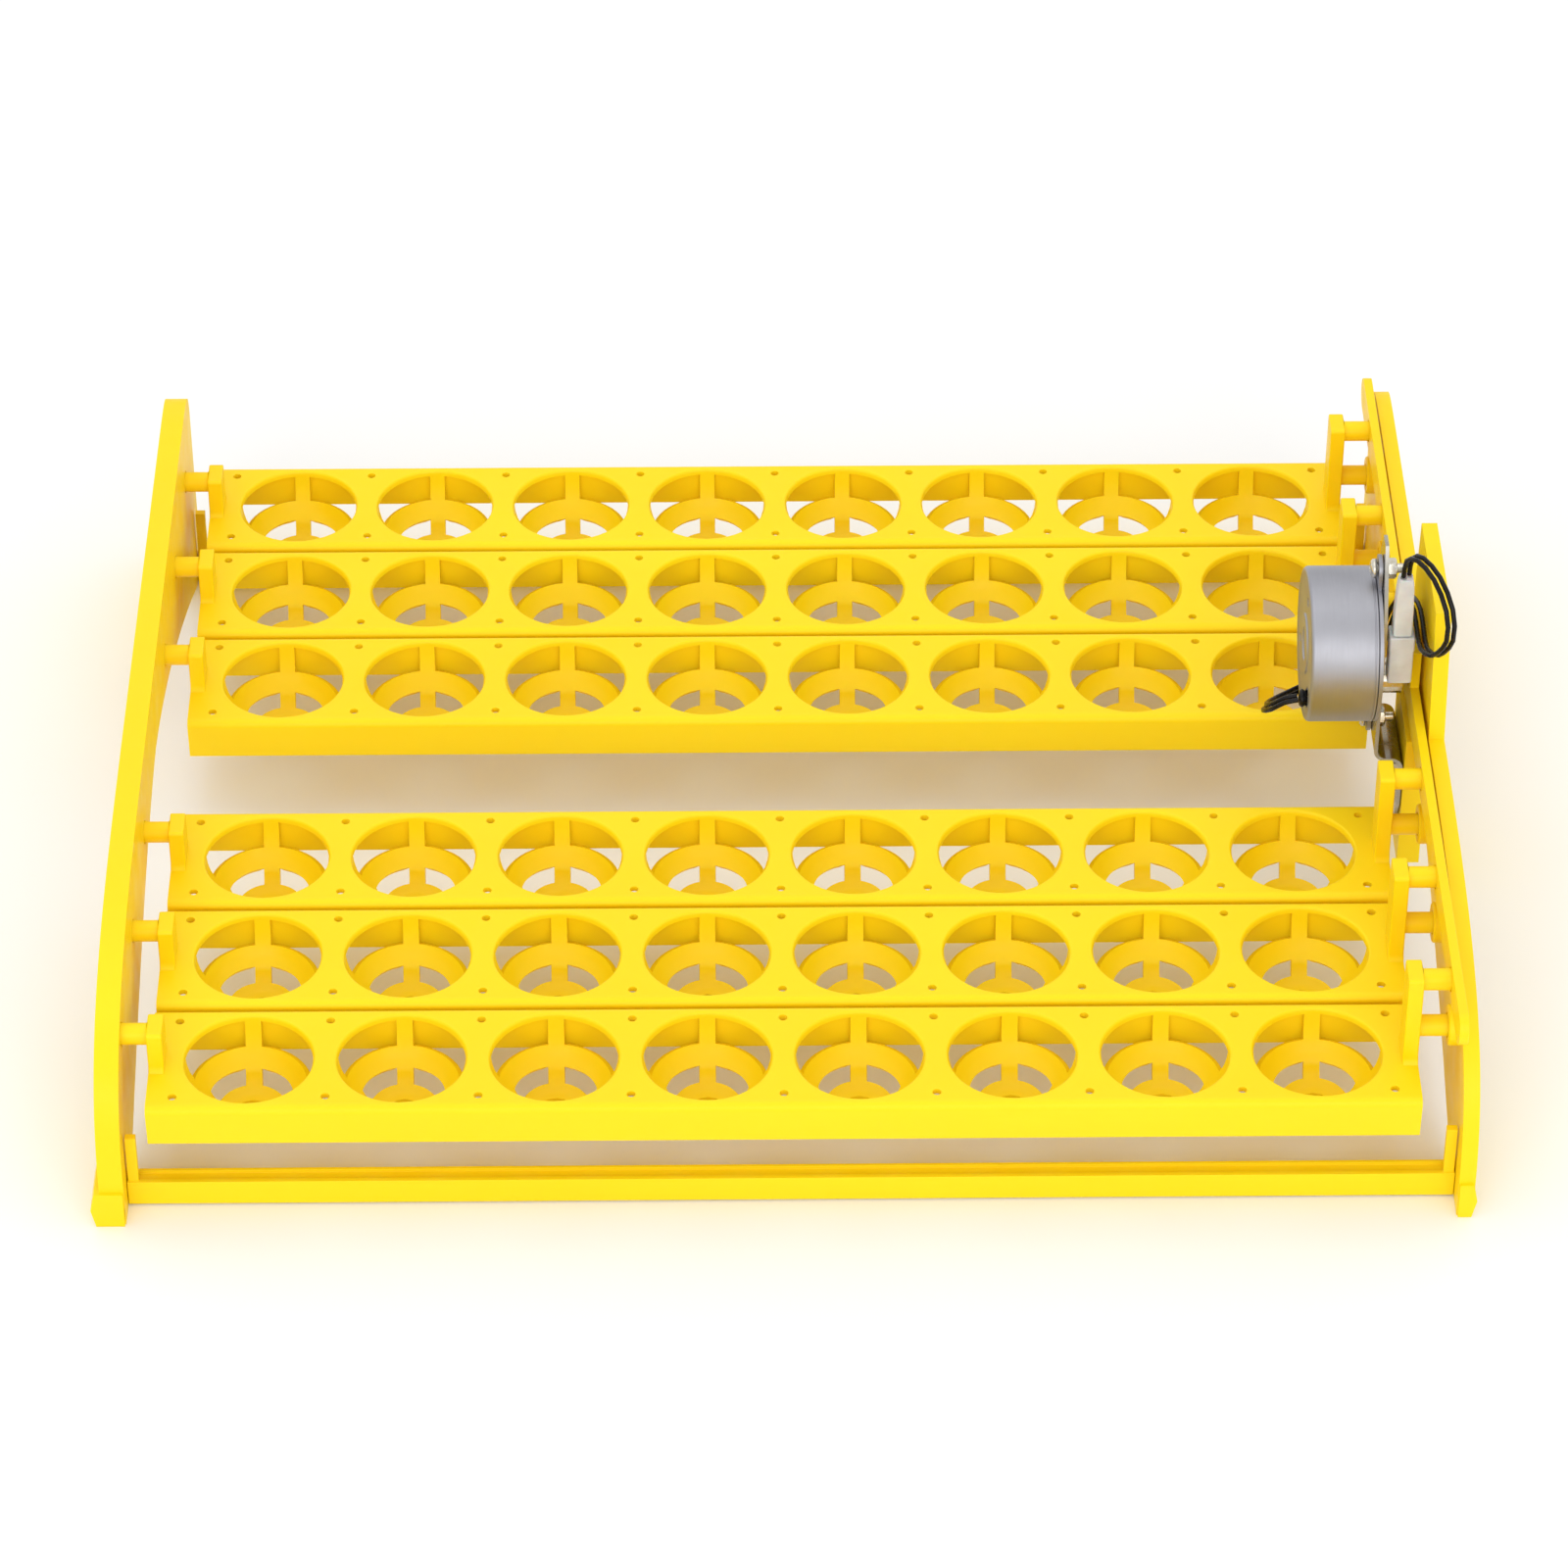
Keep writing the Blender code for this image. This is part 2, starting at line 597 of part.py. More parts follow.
def make_shaft_bearing(shop):
    nose = round_bar_mesh("nose", 190.6 * MM, 193.6 * MM, MOTOR_Y, SHAFT_Z, 4.7 * MM, 16)
    bearing = shop.part("shaft_bearing", nose, "screw_steel")
    shop.cut(bearing, round_bar_mesh("bore", 190.0 * MM, 195.0 * MM, MOTOR_Y, SHAFT_Z, 3.4 * MM, 16))
    return bearing


def make_motor_shaft(shop):
    bar = round_bar_mesh("shaft", 190.6 * MM, 200.3 * MM, MOTOR_Y, SHAFT_Z, SHAFT_R, 16)
    shaft = shop.part("motor_shaft", bar, "screw_steel")
    set_origin(shaft, (190.6 * MM, MOTOR_Y, SHAFT_Z))
    return shaft


def make_crank(shop):
    """Hub, web and eccentric pin that runs in the link bar's slot."""
    pin_z = SHAFT_Z + CRANK_R
    hub_x = 194.2 * MM
    web_x = 197.4 * MM
    end_x = 200.6 * MM
    hub = round_bar_mesh("hub", hub_x, end_x, MOTOR_Y, SHAFT_Z, 5.0 * MM, 16)
    crank = shop.part("crank_arm", hub, "screw_steel")
    half = 3.4 * MM
    shop.add(crank, box_mesh("web", (web_x, MOTOR_Y - half, SHAFT_Z), (end_x, MOTOR_Y + half, pin_z)))
    shop.add(crank, round_bar_mesh("eye", web_x, end_x, MOTOR_Y, pin_z, half, 12))
    shop.add(crank, round_bar_mesh("crank_pin", 200.0 * MM, LINK_PIN_END, MOTOR_Y, pin_z, 2.0 * MM, 12))
    bore = round_bar_mesh("bore", 193.0 * MM, 202.0 * MM, MOTOR_Y, SHAFT_Z, SHAFT_R + 0.15 * MM, 16)
    shop.cut(crank, bore)
    set_origin(crank, (hub_x, MOTOR_Y, SHAFT_Z))
    return crank


def make_motor_bolt(shop, name, z):
    head = round_bar_mesh("head", 187.9 * MM, 190.2 * MM, MOTOR_Y, z, 3.1 * MM, 12)
    bolt = shop.part(name, head, "screw_steel")
    shop.add(bolt, round_bar_mesh("shank", 190.0 * MM, 199.5 * MM, MOTOR_Y, z, 1.7 * MM, 10))
    return bolt


def make_motor_nut(shop, name, z):
    hexagon = round_bar_mesh("nut", 193.3 * MM, 196.3 * MM, MOTOR_Y, z, 3.3 * MM, 6)
    nut = shop.part(name, hexagon, "screw_steel")
    shop.cut(nut, round_bar_mesh("thread", 192.0 * MM, 198.0 * MM, MOTOR_Y, z, 1.95 * MM, 12))
    return nut


def make_bracket_screw(shop, name, z):
    head = round_bar_mesh("head", 198.2 * MM, 200.2 * MM, MOTOR_Y, z, 3.2 * MM, 12)
    screw = shop.part(name, head, "screw_steel")
    shop.add(screw, round_bar_mesh("shank", 200.0 * MM, 206.6 * MM, MOTOR_Y, z, 1.6 * MM, 8))
    return screw


def make_connector_half(shop, name, low, high):
    half = shop.part(name, box_mesh(name, low, high), "connector_nylon")
    bevel = half.modifiers.new("edges", "BEVEL")
    bevel.width = 0.6 * MM
    bevel.segments = 1
    return half


def smooth_route(knots, spacing):
    """Catmull-Rom points through the knots, one for every few diameters."""
    points = []
    last = len(knots) - 1
    for i in range(last):
        p0 = knots[max(i - 1, 0)]
        p1 = knots[i]
        p2 = knots[i + 1]
        p3 = knots[min(i + 2, last)]
        count = max(2, round((p2 - p1).length / spacing))
        for step in range(count):
            t = step / count
            a = 2.0 * p1
            b = (p2 - p0) * t
            c = (2.0 * p0 - 5.0 * p1 + 4.0 * p2 - p3) * t * t
            d = (3.0 * p1 - p0 - 3.0 * p2 + p3) * t * t * t
            points.append((a + b + c + d) * 0.5)
    points.append(knots[last])
    return points


def side_by_side(points, offset):
    """Shift a route sideways by a steady distance without twisting it."""
    side = Vector((0.0, 1.0, 0.0))
    shifted = []
    for i, point in enumerate(points):
        along = (points[min(i + 1, len(points) - 1)] - points[max(i - 1, 0)]).normalized()
        side = (side - along * side.dot(along)).normalized()
        shifted.append(point + side * offset)
    return shifted


def make_lead(shop, name, points):
    curve = bpy.data.curves.new(name, "CURVE")
    curve.dimensions = "3D"
    curve.bevel_depth = LEAD_R
    curve.bevel_resolution = 2
    curve.use_fill_caps = True
    spline = curve.splines.new("POLY")
    spline.points.add(len(points) - 1)
    for slot, point in zip(spline.points, points):
        slot.co = (point.x, point.y, point.z, 1.0)
    curve.materials.append(shop.materials["lead_sheath"])
    item = bpy.data.objects.new(name, curve)
    shop.parts.objects.link(item)
    return item


def make_leads(shop):
    grommet = round_bar_mesh("grommet", 166.6 * MM, 172.0 * MM, LEAD_EXIT_Y, LEAD_EXIT_Z, 2.9 * MM, 12)
    shop.part("lead_grommet", grommet, "lead_sheath")
    centre = smooth_route([Vector(knot) * MM for knot in LEAD_KNOTS], LEAD_POINT_SPACING)
    make_lead(shop, "lead_a", side_by_side(centre, LEAD_GAP / 2.0))
    make_lead(shop, "lead_b", side_by_side(centre, -LEAD_GAP / 2.0))


def main():
    clear_scene()
    shop = Shop()
    make_left_plate(shop)
    make_right_plate(shop)
    make_crossbar(shop, "crossbar_front", -1)
    make_crossbar(shop, "crossbar_back", 1)
    for number, row_y in enumerate(row_positions(), start=1):
        make_rail(shop, number, row_y)
    make_link_bar(shop)
    make_bracket(shop)
    make_motor_can(shop)
    make_motor_face(shop)
    make_shaft_bearing(shop)
    make_motor_shaft(shop)
    make_crank(shop)
    for place, z in zip(("top", "bottom"), ear_heights()):
        make_motor_bolt(shop, "motor_bolt_" + place, z)
        make_motor_nut(shop, "motor_nut_" + place, z)
    for place, z in zip(("upper", "lower"), BRACKET_SCREW_Z):
        make_bracket_screw(shop, "bracket_screw_" + place, z)
    make_connector_half(shop, "connector_socket", SOCKET_LOW, SOCKET_HIGH)
    make_connector_half(shop, "connector_plug", PLUG_LOW, PLUG_HIGH)
    make_leads(shop)


main()
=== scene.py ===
"""Egg turning tray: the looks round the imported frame.

Units are metres, +Z is up, X runs along the rails to the motor end, +Y is the back.
"""
import json
import math

import bmesh
import bpy
from mathutils import Matrix, Vector


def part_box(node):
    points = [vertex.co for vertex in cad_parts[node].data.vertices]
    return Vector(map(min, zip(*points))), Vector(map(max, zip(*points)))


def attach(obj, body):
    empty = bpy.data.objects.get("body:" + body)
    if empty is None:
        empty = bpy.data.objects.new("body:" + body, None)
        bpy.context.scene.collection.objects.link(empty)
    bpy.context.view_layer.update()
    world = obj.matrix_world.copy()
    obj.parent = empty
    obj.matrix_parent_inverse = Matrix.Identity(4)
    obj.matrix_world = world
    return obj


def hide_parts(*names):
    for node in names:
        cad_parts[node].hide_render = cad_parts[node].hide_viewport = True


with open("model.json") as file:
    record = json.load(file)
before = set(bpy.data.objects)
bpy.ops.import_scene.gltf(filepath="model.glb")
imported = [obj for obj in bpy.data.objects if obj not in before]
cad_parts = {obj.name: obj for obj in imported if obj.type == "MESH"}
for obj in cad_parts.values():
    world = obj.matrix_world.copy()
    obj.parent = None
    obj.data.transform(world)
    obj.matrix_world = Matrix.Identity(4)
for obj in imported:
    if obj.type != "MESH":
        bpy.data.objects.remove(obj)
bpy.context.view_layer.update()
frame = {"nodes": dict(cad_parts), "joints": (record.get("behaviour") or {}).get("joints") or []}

MM = 0.001
JOINTS = {joint["name"]: joint for joint in frame["joints"]}

# Steps of a quarter, a bend and a half turn in the shapes that are drawn as outlines
CORNER_STEPS = 4
BEND_STEPS = 12
HALF_TURN_STEPS = 16

# Camera: a long lens a little to the left of the middle, well above the tray
CAMERA_TARGET = Vector((1.5, -10.9, 42.6)) * MM
CAMERA_DISTANCE = 1.904
CAMERA_AZIMUTH = math.radians(-0.586)
CAMERA_ELEVATION = math.radians(39.0)
CAMERA_LENS = 135.0
CAMERA_SENSOR = 36.0

# Rail section, measured from the top of the rail and from its centre line
CUP_PITCH = 46.8 * MM
CUPS_PER_RAIL = 8
RAIL_HALF_LENGTH = 194.0 * MM
RAIL_HALF_WIDTH = 23.2 * MM
RAIL_APRON = 14.6 * MM
RAIL_DRAFT = 0.9 * MM
RAIL_EDGE_R = 2.4 * MM
RAIL_SHEET = 1.8 * MM
RAIL_TOP = -10.4 * MM
VENT_HOLE_R = 1.4 * MM
VENT_HOLE_Y = 17.4 * MM
VENT_HOLE_PITCH = 46.5 * MM
VENT_HOLE_SIDES = 12
RIB_WIDTH = 5.0 * MM
QUARTER_STEPS = 10
EDGE_STEPS = 6
APRON_MIDDLE = 0.55
RIM_LEVELS = ((20.6, 0.0), (20.25, -0.1), (19.95, -0.4), (19.75, -1.0), (19.65, -2.0))
UPPER_RIB_LEVELS = ((19.65, -2.0), (19.4, -4.6), (18.7, -7.6), (17.4, -10.5))
BAND_LEVELS = ((17.4, -10.5), (16.2, -12.6), (14.7, -14.3), (12.9, -15.5))
LOWER_RIB_LEVELS = ((12.9, -15.5), (12.3, -17.2), (11.4, -18.8), (10.3, -20.0))
SEAT_LEVELS = ((10.3, -20.0), (8.8, -21.0), (7.0, -21.5), (5.0, -21.6))

# Arms, pins and link
LINK_ARM = 18.5 * MM
ARM_THICK = 4.8 * MM
ARM_HALF_WIDTH = 5.5 * MM
PIN_R = 3.4 * MM
PIN_COVER = 3.8 * MM
PIN_EDGE = 0.5 * MM
ARM_CORNER_R = 1.2 * MM
ARM_FLARE = ((2.2, -1.0), (0.9, 0.5), (0.0, 2.2))
BORE_R = 3.9 * MM
LEFT_PIN_END = -204.6 * MM
RIGHT_PIN_END = 208.2 * MM
LINK_PIN_END = 205.2 * MM

# Side plates
PLATE_HALF_LENGTH = 171.0 * MM
PLATE_PEAK = 73.5 * MM
FRONT_SHAPE = (4.0, 0.304)
BACK_SHAPE = (24.0, 0.045)
ARCH_HALF_LENGTH = 154.0 * MM
ARCH_PEAK = 50.0 * MM
ARCH_POWER = 1.5
FLANGE_THICK = 2.4 * MM
PLATE_STEPS = 40
ARCH_STEPS = 24
LEFT_WALL_X = (-205.0 * MM, -202.0 * MM)
LEFT_FLANGE_X = (-209.5 * MM, -202.0 * MM)
RIGHT_WALL_X = (206.6 * MM, 209.1 * MM)
RIGHT_FLANGE_X = (206.6 * MM, 211.6 * MM)
FOOT_X = 212.5 * MM
FOOT_Y = (154.0 * MM, 172.0 * MM)
FOOT_HEIGHT = 13.0 * MM
FOOT_RIDGE = 1.4 * MM
LEFT_FOOT_X = -202.3 * MM
RIGHT_FOOT_X = 206.9 * MM
LEFT_BORE_X = (-207.0 * MM, -201.0 * MM)
RIGHT_BORE_X = (201.0 * MM, 210.0 * MM)
PAD_X = 201.9 * MM
PAD_Z = (10.0 * MM, 60.5 * MM)
PAD_MARGIN = 2.0 * MM
TOWER_TOP = 118.0 * MM
TOWER_LOW = 66.0 * MM
TOWER_FRONT = (-30.0 * MM, -21.0 * MM)
TOWER_BACK = (33.0 * MM, 27.0 * MM)
TOWER_RIM_INSET = 1.0 * MM
BOSS_X = 202.7 * MM
BOSS_R = 6.4 * MM
BOSS_EDGE = 0.4 * MM
BAR_TOP = 9.5 * MM
BAR_CHANNEL = 1.0 * MM
BAR_LIP_OUTER = 1.6 * MM
BAR_LIP_INNER = 1.2 * MM
BAR_TAB_INSET = 1.8 * MM
BAR_TAB_HALF = 1.2 * MM
BAR_TAB_X = (0.3 * MM, 3.6 * MM)

# Link bar
LINK_HALF_HEIGHT = 5.6 * MM
LUG_HALF_WIDTH = 9.5 * MM
SLOT_HALF_WIDTH = 4.2 * MM
SLOT_Z = (73.9 * MM, 85.8 * MM)

# Motor and drive
MOTOR_Y = 3.0 * MM
MOTOR_Z = 88.0 * MM
MOTOR_R = 25.0 * MM
EAR_SPACING = 30.0 * MM
EAR_R = 4.5 * MM
EAR_HOLE_R = 2.1 * MM
FACE_BORE_R = 5.0 * MM
CAN_PROFILE = (
    (169.0, 0.0), (169.0, 5.0), (168.5, 5.5), (168.5, 9.5), (169.0, 10.0), (169.0, 22.4),
    (168.7, 23.0), (168.6, 23.6), (168.8, 24.3), (169.3, 24.8), (170.0, 25.0), (188.9, 25.0),
    (189.0, 24.8), (189.3, 24.8), (189.4, 25.0), (190.0, 25.0), (190.2, 24.8), (190.2, 0.0),
)
DIMPLE_RING_R = 16.5 * MM
DIMPLE_R = 1.6 * MM
DIMPLE_X = (167.0 * MM, 169.4 * MM)
BUSH_HOLE_R = 3.2 * MM
BUSH_HOLE_X = (167.0 * MM, 172.5 * MM)
SHAFT_Z = 74.0 * MM
BRACKET_SHEET = 1.2 * MM
BRACKET_Y = (-11.5 * MM, 17.5 * MM)
BRACKET_X = 191.9 * MM
BRACKET_TOP = 129.0 * MM
BRACKET_BEND_R = 3.0 * MM
BRACKET_SHAFT_HOLE_R = 5.6 * MM
UPRIGHT_HOLE_X = (190.0 * MM, 195.0 * MM)
TAIL_HOLE_X = (199.0 * MM, 203.0 * MM)
WEDGE_X = (185.0 * MM, 215.0 * MM)
WEDGE_MARGIN = 0.5 * MM
EAR_TIP_HALF = 2.5 * MM
EAR_TAPER_Z = (104.0 * MM, 130.0 * MM)
TAIL_TIP_HALF = 4.0 * MM
TAIL_TAPER_TOP = 34.0 * MM
SHELF_Z = 52.0 * MM
TAIL_X = 200.4 * MM
TAIL_Z = 12.0 * MM
BRACKET_SCREW_Z = (42.0 * MM, 26.0 * MM)
SCREW_HOLE_R = 1.9 * MM
PAD_HOLE_X = (200.0 * MM, 207.0 * MM)

# Screws and nuts
THREAD_PITCH = 0.5 * MM
THREAD_DEPTH = 0.25 * MM
THREAD_R = 1.65 * MM
HEAD_HEIGHT = 2.0 * MM
CROSS_DEPTH = 1.2 * MM
CROSS_HALF_LENGTH = 1.7 * MM
CROSS_HALF_WIDTH = 0.35 * MM
NUT_BORE_R = 1.75 * MM

# Connector halves: height, width in x and width in y as parts of the node's box
PLUG_SHARES = ((0.0, 0.96, 0.98), (0.03, 1.0, 1.0), (0.45, 0.95, 0.96),
               (0.80, 0.86, 0.90), (0.94, 0.78, 0.84), (1.0, 0.66, 0.76))
SOCKET_SHARES = ((0.0, 0.90, 0.92), (0.04, 0.95, 0.96), (0.70, 0.95, 0.96),
                 (0.72, 1.0, 1.0), (0.97, 1.0, 1.0), (1.0, 0.96, 0.97))
CONNECTOR_CORNER_R = 0.7 * MM
CONNECTOR_SIDE = 1.6 * MM
LATCH_Z = (1.0 * MM, 9.0 * MM)
MOUTH_WALL = 1.4 * MM
MOUTH_DEPTH = 3.0 * MM
LEAD_HOLE_R = 1.05 * MM
LEAD_HOLE_DEPTH = 6.0 * MM

# Leads, from the closed end of the can to the connector
LEAD_R = 0.8 * MM
LEAD_GAP = 2.2 * MM
LEAD_POINT_SPACING = 4.5 * MM
LEAD_EXIT_Y = -10.0 * MM
LEAD_EXIT_Z = 76.0 * MM
LEAD_KNOTS = (
    (166.2, -10.0, 76.0), (162.0, -10.0, 75.0), (158.5, -8.0, 71.0), (156.8, -2.5, 66.3),
    (158.5, 4.5, 62.2), (164.5, 11.5, 60.0), (174.0, 18.5, 59.6), (184.5, 23.4, 60.3),
    (192.5, 24.8, 64.5), (196.6, 24.4, 73.5), (198.6, 23.2, 84.0), (200.4, 18.5, 93.5),
    (202.6, 10.5, 100.5), (203.6, 0.0, 103.6), (203.6, -11.0, 103.6), (203.8, -21.0, 104.0),
    (206.2, -30.5, 108.8), (209.4, -36.0, 118.7), (208.8, -34.0, 129.1), (205.2, -26.0, 135.6),
    (200.8, -17.5, 136.7), (198.2, -12.0, 132.7), (197.8, -10.3, 125.1),
)

# Lights: name, place, what it points at, size and power
LIGHTS = (
    ("front", (0.0, -2.2, 1.1), (0.0, 0.0, 0.05), (3.0, 1.4), 20.0),
    ("top", (-0.3, 0.3, 2.2), (0.0, 0.0, 0.0), (2.4, 2.4), 10.0),
)
SKY_STRENGTH = 0.90
FLOOR_Z = -0.05 * MM


# --- Camera -----------------------------------------------------------------

def make_camera():
    data = bpy.data.cameras.new("camera")
    data.lens = CAMERA_LENS
    data.sensor_width = CAMERA_SENSOR
    camera = bpy.data.objects.new("camera", data)
    bpy.context.scene.collection.objects.link(camera)
    back = Vector((math.sin(CAMERA_AZIMUTH) * math.cos(CAMERA_ELEVATION),
                   -math.cos(CAMERA_AZIMUTH) * math.cos(CAMERA_ELEVATION),
                   math.sin(CAMERA_ELEVATION)))
    camera.location = CAMERA_TARGET + back * CAMERA_DISTANCE
    camera.rotation_mode = "QUATERNION"
    camera.rotation_quaternion = (-back).to_track_quat("-Z", "Y")
    data.clip_start = 0.05
    data.clip_end = 20.0
    bpy.context.scene.camera = camera


# --- Materials --------------------------------------------------------------

class Painter:
    """Builds one procedural material: noise in the object's own coordinates."""

    def __init__(self, name):
        self.material = bpy.data.materials.new(name)
        self.material.use_nodes = True
        self.tree = self.material.node_tree
        self.shader = self.tree.nodes["Principled BSDF"]
        self.place = self.tree.nodes.new("ShaderNodeTexCoord").outputs["Object"]

    def set(self, **values):
        for socket, value in values.items():
            self.shader.inputs[socket.replace("_", " ")].default_value = value

    def stretched(self, scale):
        mapping = self.tree.nodes.new("ShaderNodeMapping")
        mapping.inputs["Scale"].default_value = scale
        self.tree.links.new(self.place, mapping.inputs["Vector"])
        return mapping.outputs["Vector"]

    def noise(self, scale, detail=3.0, roughness=0.5, vector=None):
        node = self.tree.nodes.new("ShaderNodeTexNoise")
        node.inputs["Scale"].default_value = scale
        node.inputs["Detail"].default_value = detail
        node.inputs["Roughness"].default_value = roughness
        self.tree.links.new(vector or self.place, node.inputs["Vector"])
        return node.outputs["Fac"]

    def ramp(self, fac, stops):
        node = self.tree.nodes.new("ShaderNodeValToRGB")
        elements = node.color_ramp.elements
        while len(elements) < len(stops):
            elements.new(0.5)
        for element, (position, colour) in zip(elements, stops):
            element.position = position
            element.color = (*colour, 1.0)
        self.tree.links.new(fac, node.inputs["Fac"])
        return node.outputs["Color"]

    def span(self, fac, low, high):
        node = self.tree.nodes.new("ShaderNodeMapRange")
        node.inputs["From Min"].default_value = 0.3
        node.inputs["From Max"].default_value = 0.7
        node.inputs["To Min"].default_value = low
        node.inputs["To Max"].default_value = high
        self.tree.links.new(fac, node.inputs["Value"])
        return node.outputs["Result"]

    def colour(self, output):
        self.tree.links.new(output, self.shader.inputs["Base Color"])

    def roughness(self, output):
        self.tree.links.new(output, self.shader.inputs["Roughness"])

    def bump(self, height, strength, distance):
        node = self.tree.nodes.new("ShaderNodeBump")
        node.inputs["Strength"].default_value = strength
        node.inputs["Distance"].default_value = distance
        self.tree.links.new(height, node.inputs["Height"])
        linked = self.shader.inputs["Normal"].links
        if linked:
            self.tree.links.new(linked[0].from_socket, node.inputs["Normal"])
        self.tree.links.new(node.outputs["Normal"], self.shader.inputs["Normal"])


def tray_plastic():
    """Bright yellow moulded plastic: flow marks, orange peel and a satin gloss."""
    paint = Painter("tray_plastic")
    flow = paint.noise(14.0, detail=5.0, roughness=0.6, vector=paint.stretched((0.5, 1.0, 1.6)))
    paint.colour(paint.ramp(flow, ((0.30, (0.98, 0.680, 0.004)), (0.55, (0.99, 0.705, 0.005)),
                                   (0.75, (0.99, 0.730, 0.006)))))
    paint.roughness(paint.span(paint.noise(120.0, detail=4.0), 0.34, 0.50))
    paint.bump(paint.noise(700.0, detail=2.0), 0.10, 0.00010)
    paint.bump(paint.noise(45.0, detail=2.0), 0.12, 0.00060)
    paint.set(Specular_IOR_Level=0.22, Subsurface_Weight=0.15, Subsurface_Scale=0.003)
    paint.shader.inputs["Subsurface Radius"].default_value = (1.0, 0.6, 0.08)
    return paint.material


def motor_steel():
    """Plated pressed can: bright grey, faint drawing lines round the axis."""
    paint = Painter("motor_steel")
    cloud = paint.noise(60.0, detail=4.0)
    paint.colour(paint.ramp(cloud, ((0.3, (0.37, 0.37, 0.40)), (0.7, (0.42, 0.42, 0.455)))))
    lines = paint.noise(260.0, detail=2.0, vector=paint.stretched((9.0, 0.4, 0.4)))
    paint.roughness(paint.span(lines, 0.44, 0.52))
    paint.bump(lines, 0.03, 0.00003)
    paint.set(Metallic=1.0)
    return paint.material


def zinc_steel():
    """Zinc plated sheet: warm grey with rolling lines and dull patches."""
    paint = Painter("zinc_steel")
    patch = paint.noise(90.0, detail=5.0, roughness=0.65)
    paint.colour(paint.ramp(patch, ((0.3, (0.34, 0.32, 0.27)), (0.7, (0.50, 0.48, 0.43)))))
    lines = paint.noise(300.0, detail=2.0, vector=paint.stretched((1.0, 1.0, 0.08)))
    paint.roughness(paint.span(patch, 0.18, 0.32))
    paint.bump(lines, 0.10, 0.00005)
    paint.set(Metallic=1.0)
    return paint.material


def screw_steel():
    """Bright plated fasteners with a trace of yellow passivation."""
    paint = Painter("screw_steel")
    patch = paint.noise(400.0, detail=3.0)
    paint.colour(paint.ramp(patch, ((0.3, (0.62, 0.57, 0.44)), (0.7, (0.80, 0.78, 0.72)))))
    paint.roughness(paint.span(paint.noise(900.0), 0.16, 0.30))
    paint.bump(paint.noise(1500.0), 0.08, 0.00004)
    paint.set(Metallic=1.0)
    return paint.material


def lead_sheath():
    """Black vinyl: glossy, very slightly uneven along its length."""
    paint = Painter("lead_sheath")
    patch = paint.noise(350.0, detail=3.0)
    paint.colour(paint.ramp(patch, ((0.3, (0.004, 0.003, 0.003)), (0.7, (0.009, 0.007, 0.006)))))
    paint.roughness(paint.span(paint.noise(800.0), 0.22, 0.34))
    paint.bump(paint.noise(600.0), 0.15, 0.00008)
    paint.set(Specular_IOR_Level=0.22)
    return paint.material


def connector_nylon():
    """Natural nylon: milky white, lets some light through."""
    paint = Painter("connector_nylon")
    cloud = paint.noise(160.0, detail=4.0)
    paint.colour(paint.ramp(cloud, ((0.3, (0.74, 0.72, 0.70)), (0.7, (0.88, 0.87, 0.86)))))
    paint.roughness(paint.span(paint.noise(300.0), 0.28, 0.42))
    paint.bump(paint.noise(900.0), 0.10, 0.00005)
    paint.set(Subsurface_Weight=0.35, Subsurface_Scale=0.003, Transmission_Weight=0.25, IOR=1.5)
    return paint.material


def floor_paper():
    paint = Painter("floor_paper")
    grain = paint.noise(6.0, detail=4.0)
    paint.colour(paint.ramp(grain, ((0.3, (0.930, 0.930, 0.930)), (0.7, (0.945, 0.945, 0.945)))))
    paint.roughness(paint.span(paint.noise(200.0), 0.80, 0.90))
    return paint.material


# --- Mesh tools ---------------------------------------------------------------

def mesh_of(bm, name):
    bmesh.ops.recalc_face_normals(bm, faces=bm.faces)
    mesh = bpy.data.meshes.new(name)
    bm.to_mesh(mesh)
    bm.free()
    return mesh


def box(low, high):
    low = Vector(low)
    high = Vector(high)
    bm = bmesh.new()
    bmesh.ops.create_cube(bm, size=1.0)
    bmesh.ops.scale(bm, vec=high - low, verts=bm.verts)
    bmesh.ops.translate(bm, vec=(low + high) / 2.0, verts=bm.verts)
    return mesh_of(bm, "box")


def turned(profile, y, z, steps=48):
    """A solid of revolution about an axis along X: profile is (x, radius) pairs."""
    bm = bmesh.new()
    rings = []
    for x, radius in profile:
        if radius < 1e-6:
            rings.append([bm.verts.new((x, y, z))])
            continue
        angles = [2.0 * math.pi * step / steps for step in range(steps)]
        rings.append([bm.verts.new((x, y + radius * math.cos(a), z + radius * math.sin(a)))
                      for a in angles])
    for left, right in zip(rings, rings[1:]):
        for step in range(steps):
            after = (step + 1) % steps
            if len(left) == 1:
                bm.faces.new((left[0], right[after], right[step]))
            elif len(right) == 1:
                bm.faces.new((left[step], left[after], right[0]))
            else:
                bm.faces.new((left[step], left[after], right[after], right[step]))
    if len(rings[0]) > 1:
        bm.faces.new(rings[0])
    if len(rings[-1]) > 1:
        bm.faces.new(rings[-1])
    return mesh_of(bm, "turned")


def bar_x(low, high, y, z, radius, steps=32):
    return turned(((low, radius), (high, radius)), y, z, steps)


def pin(root, end, y, z, radius):
    """A round pin along X with a rounded free end."""
    away = 1.0 if end > root else -1.0
    profile = ((root, radius), (end - away * PIN_EDGE, radius),
               (end - away * 0.3 * PIN_EDGE, radius - 0.3 * PIN_EDGE), (end, radius - PIN_EDGE))
    return turned(profile, y, z, 32)


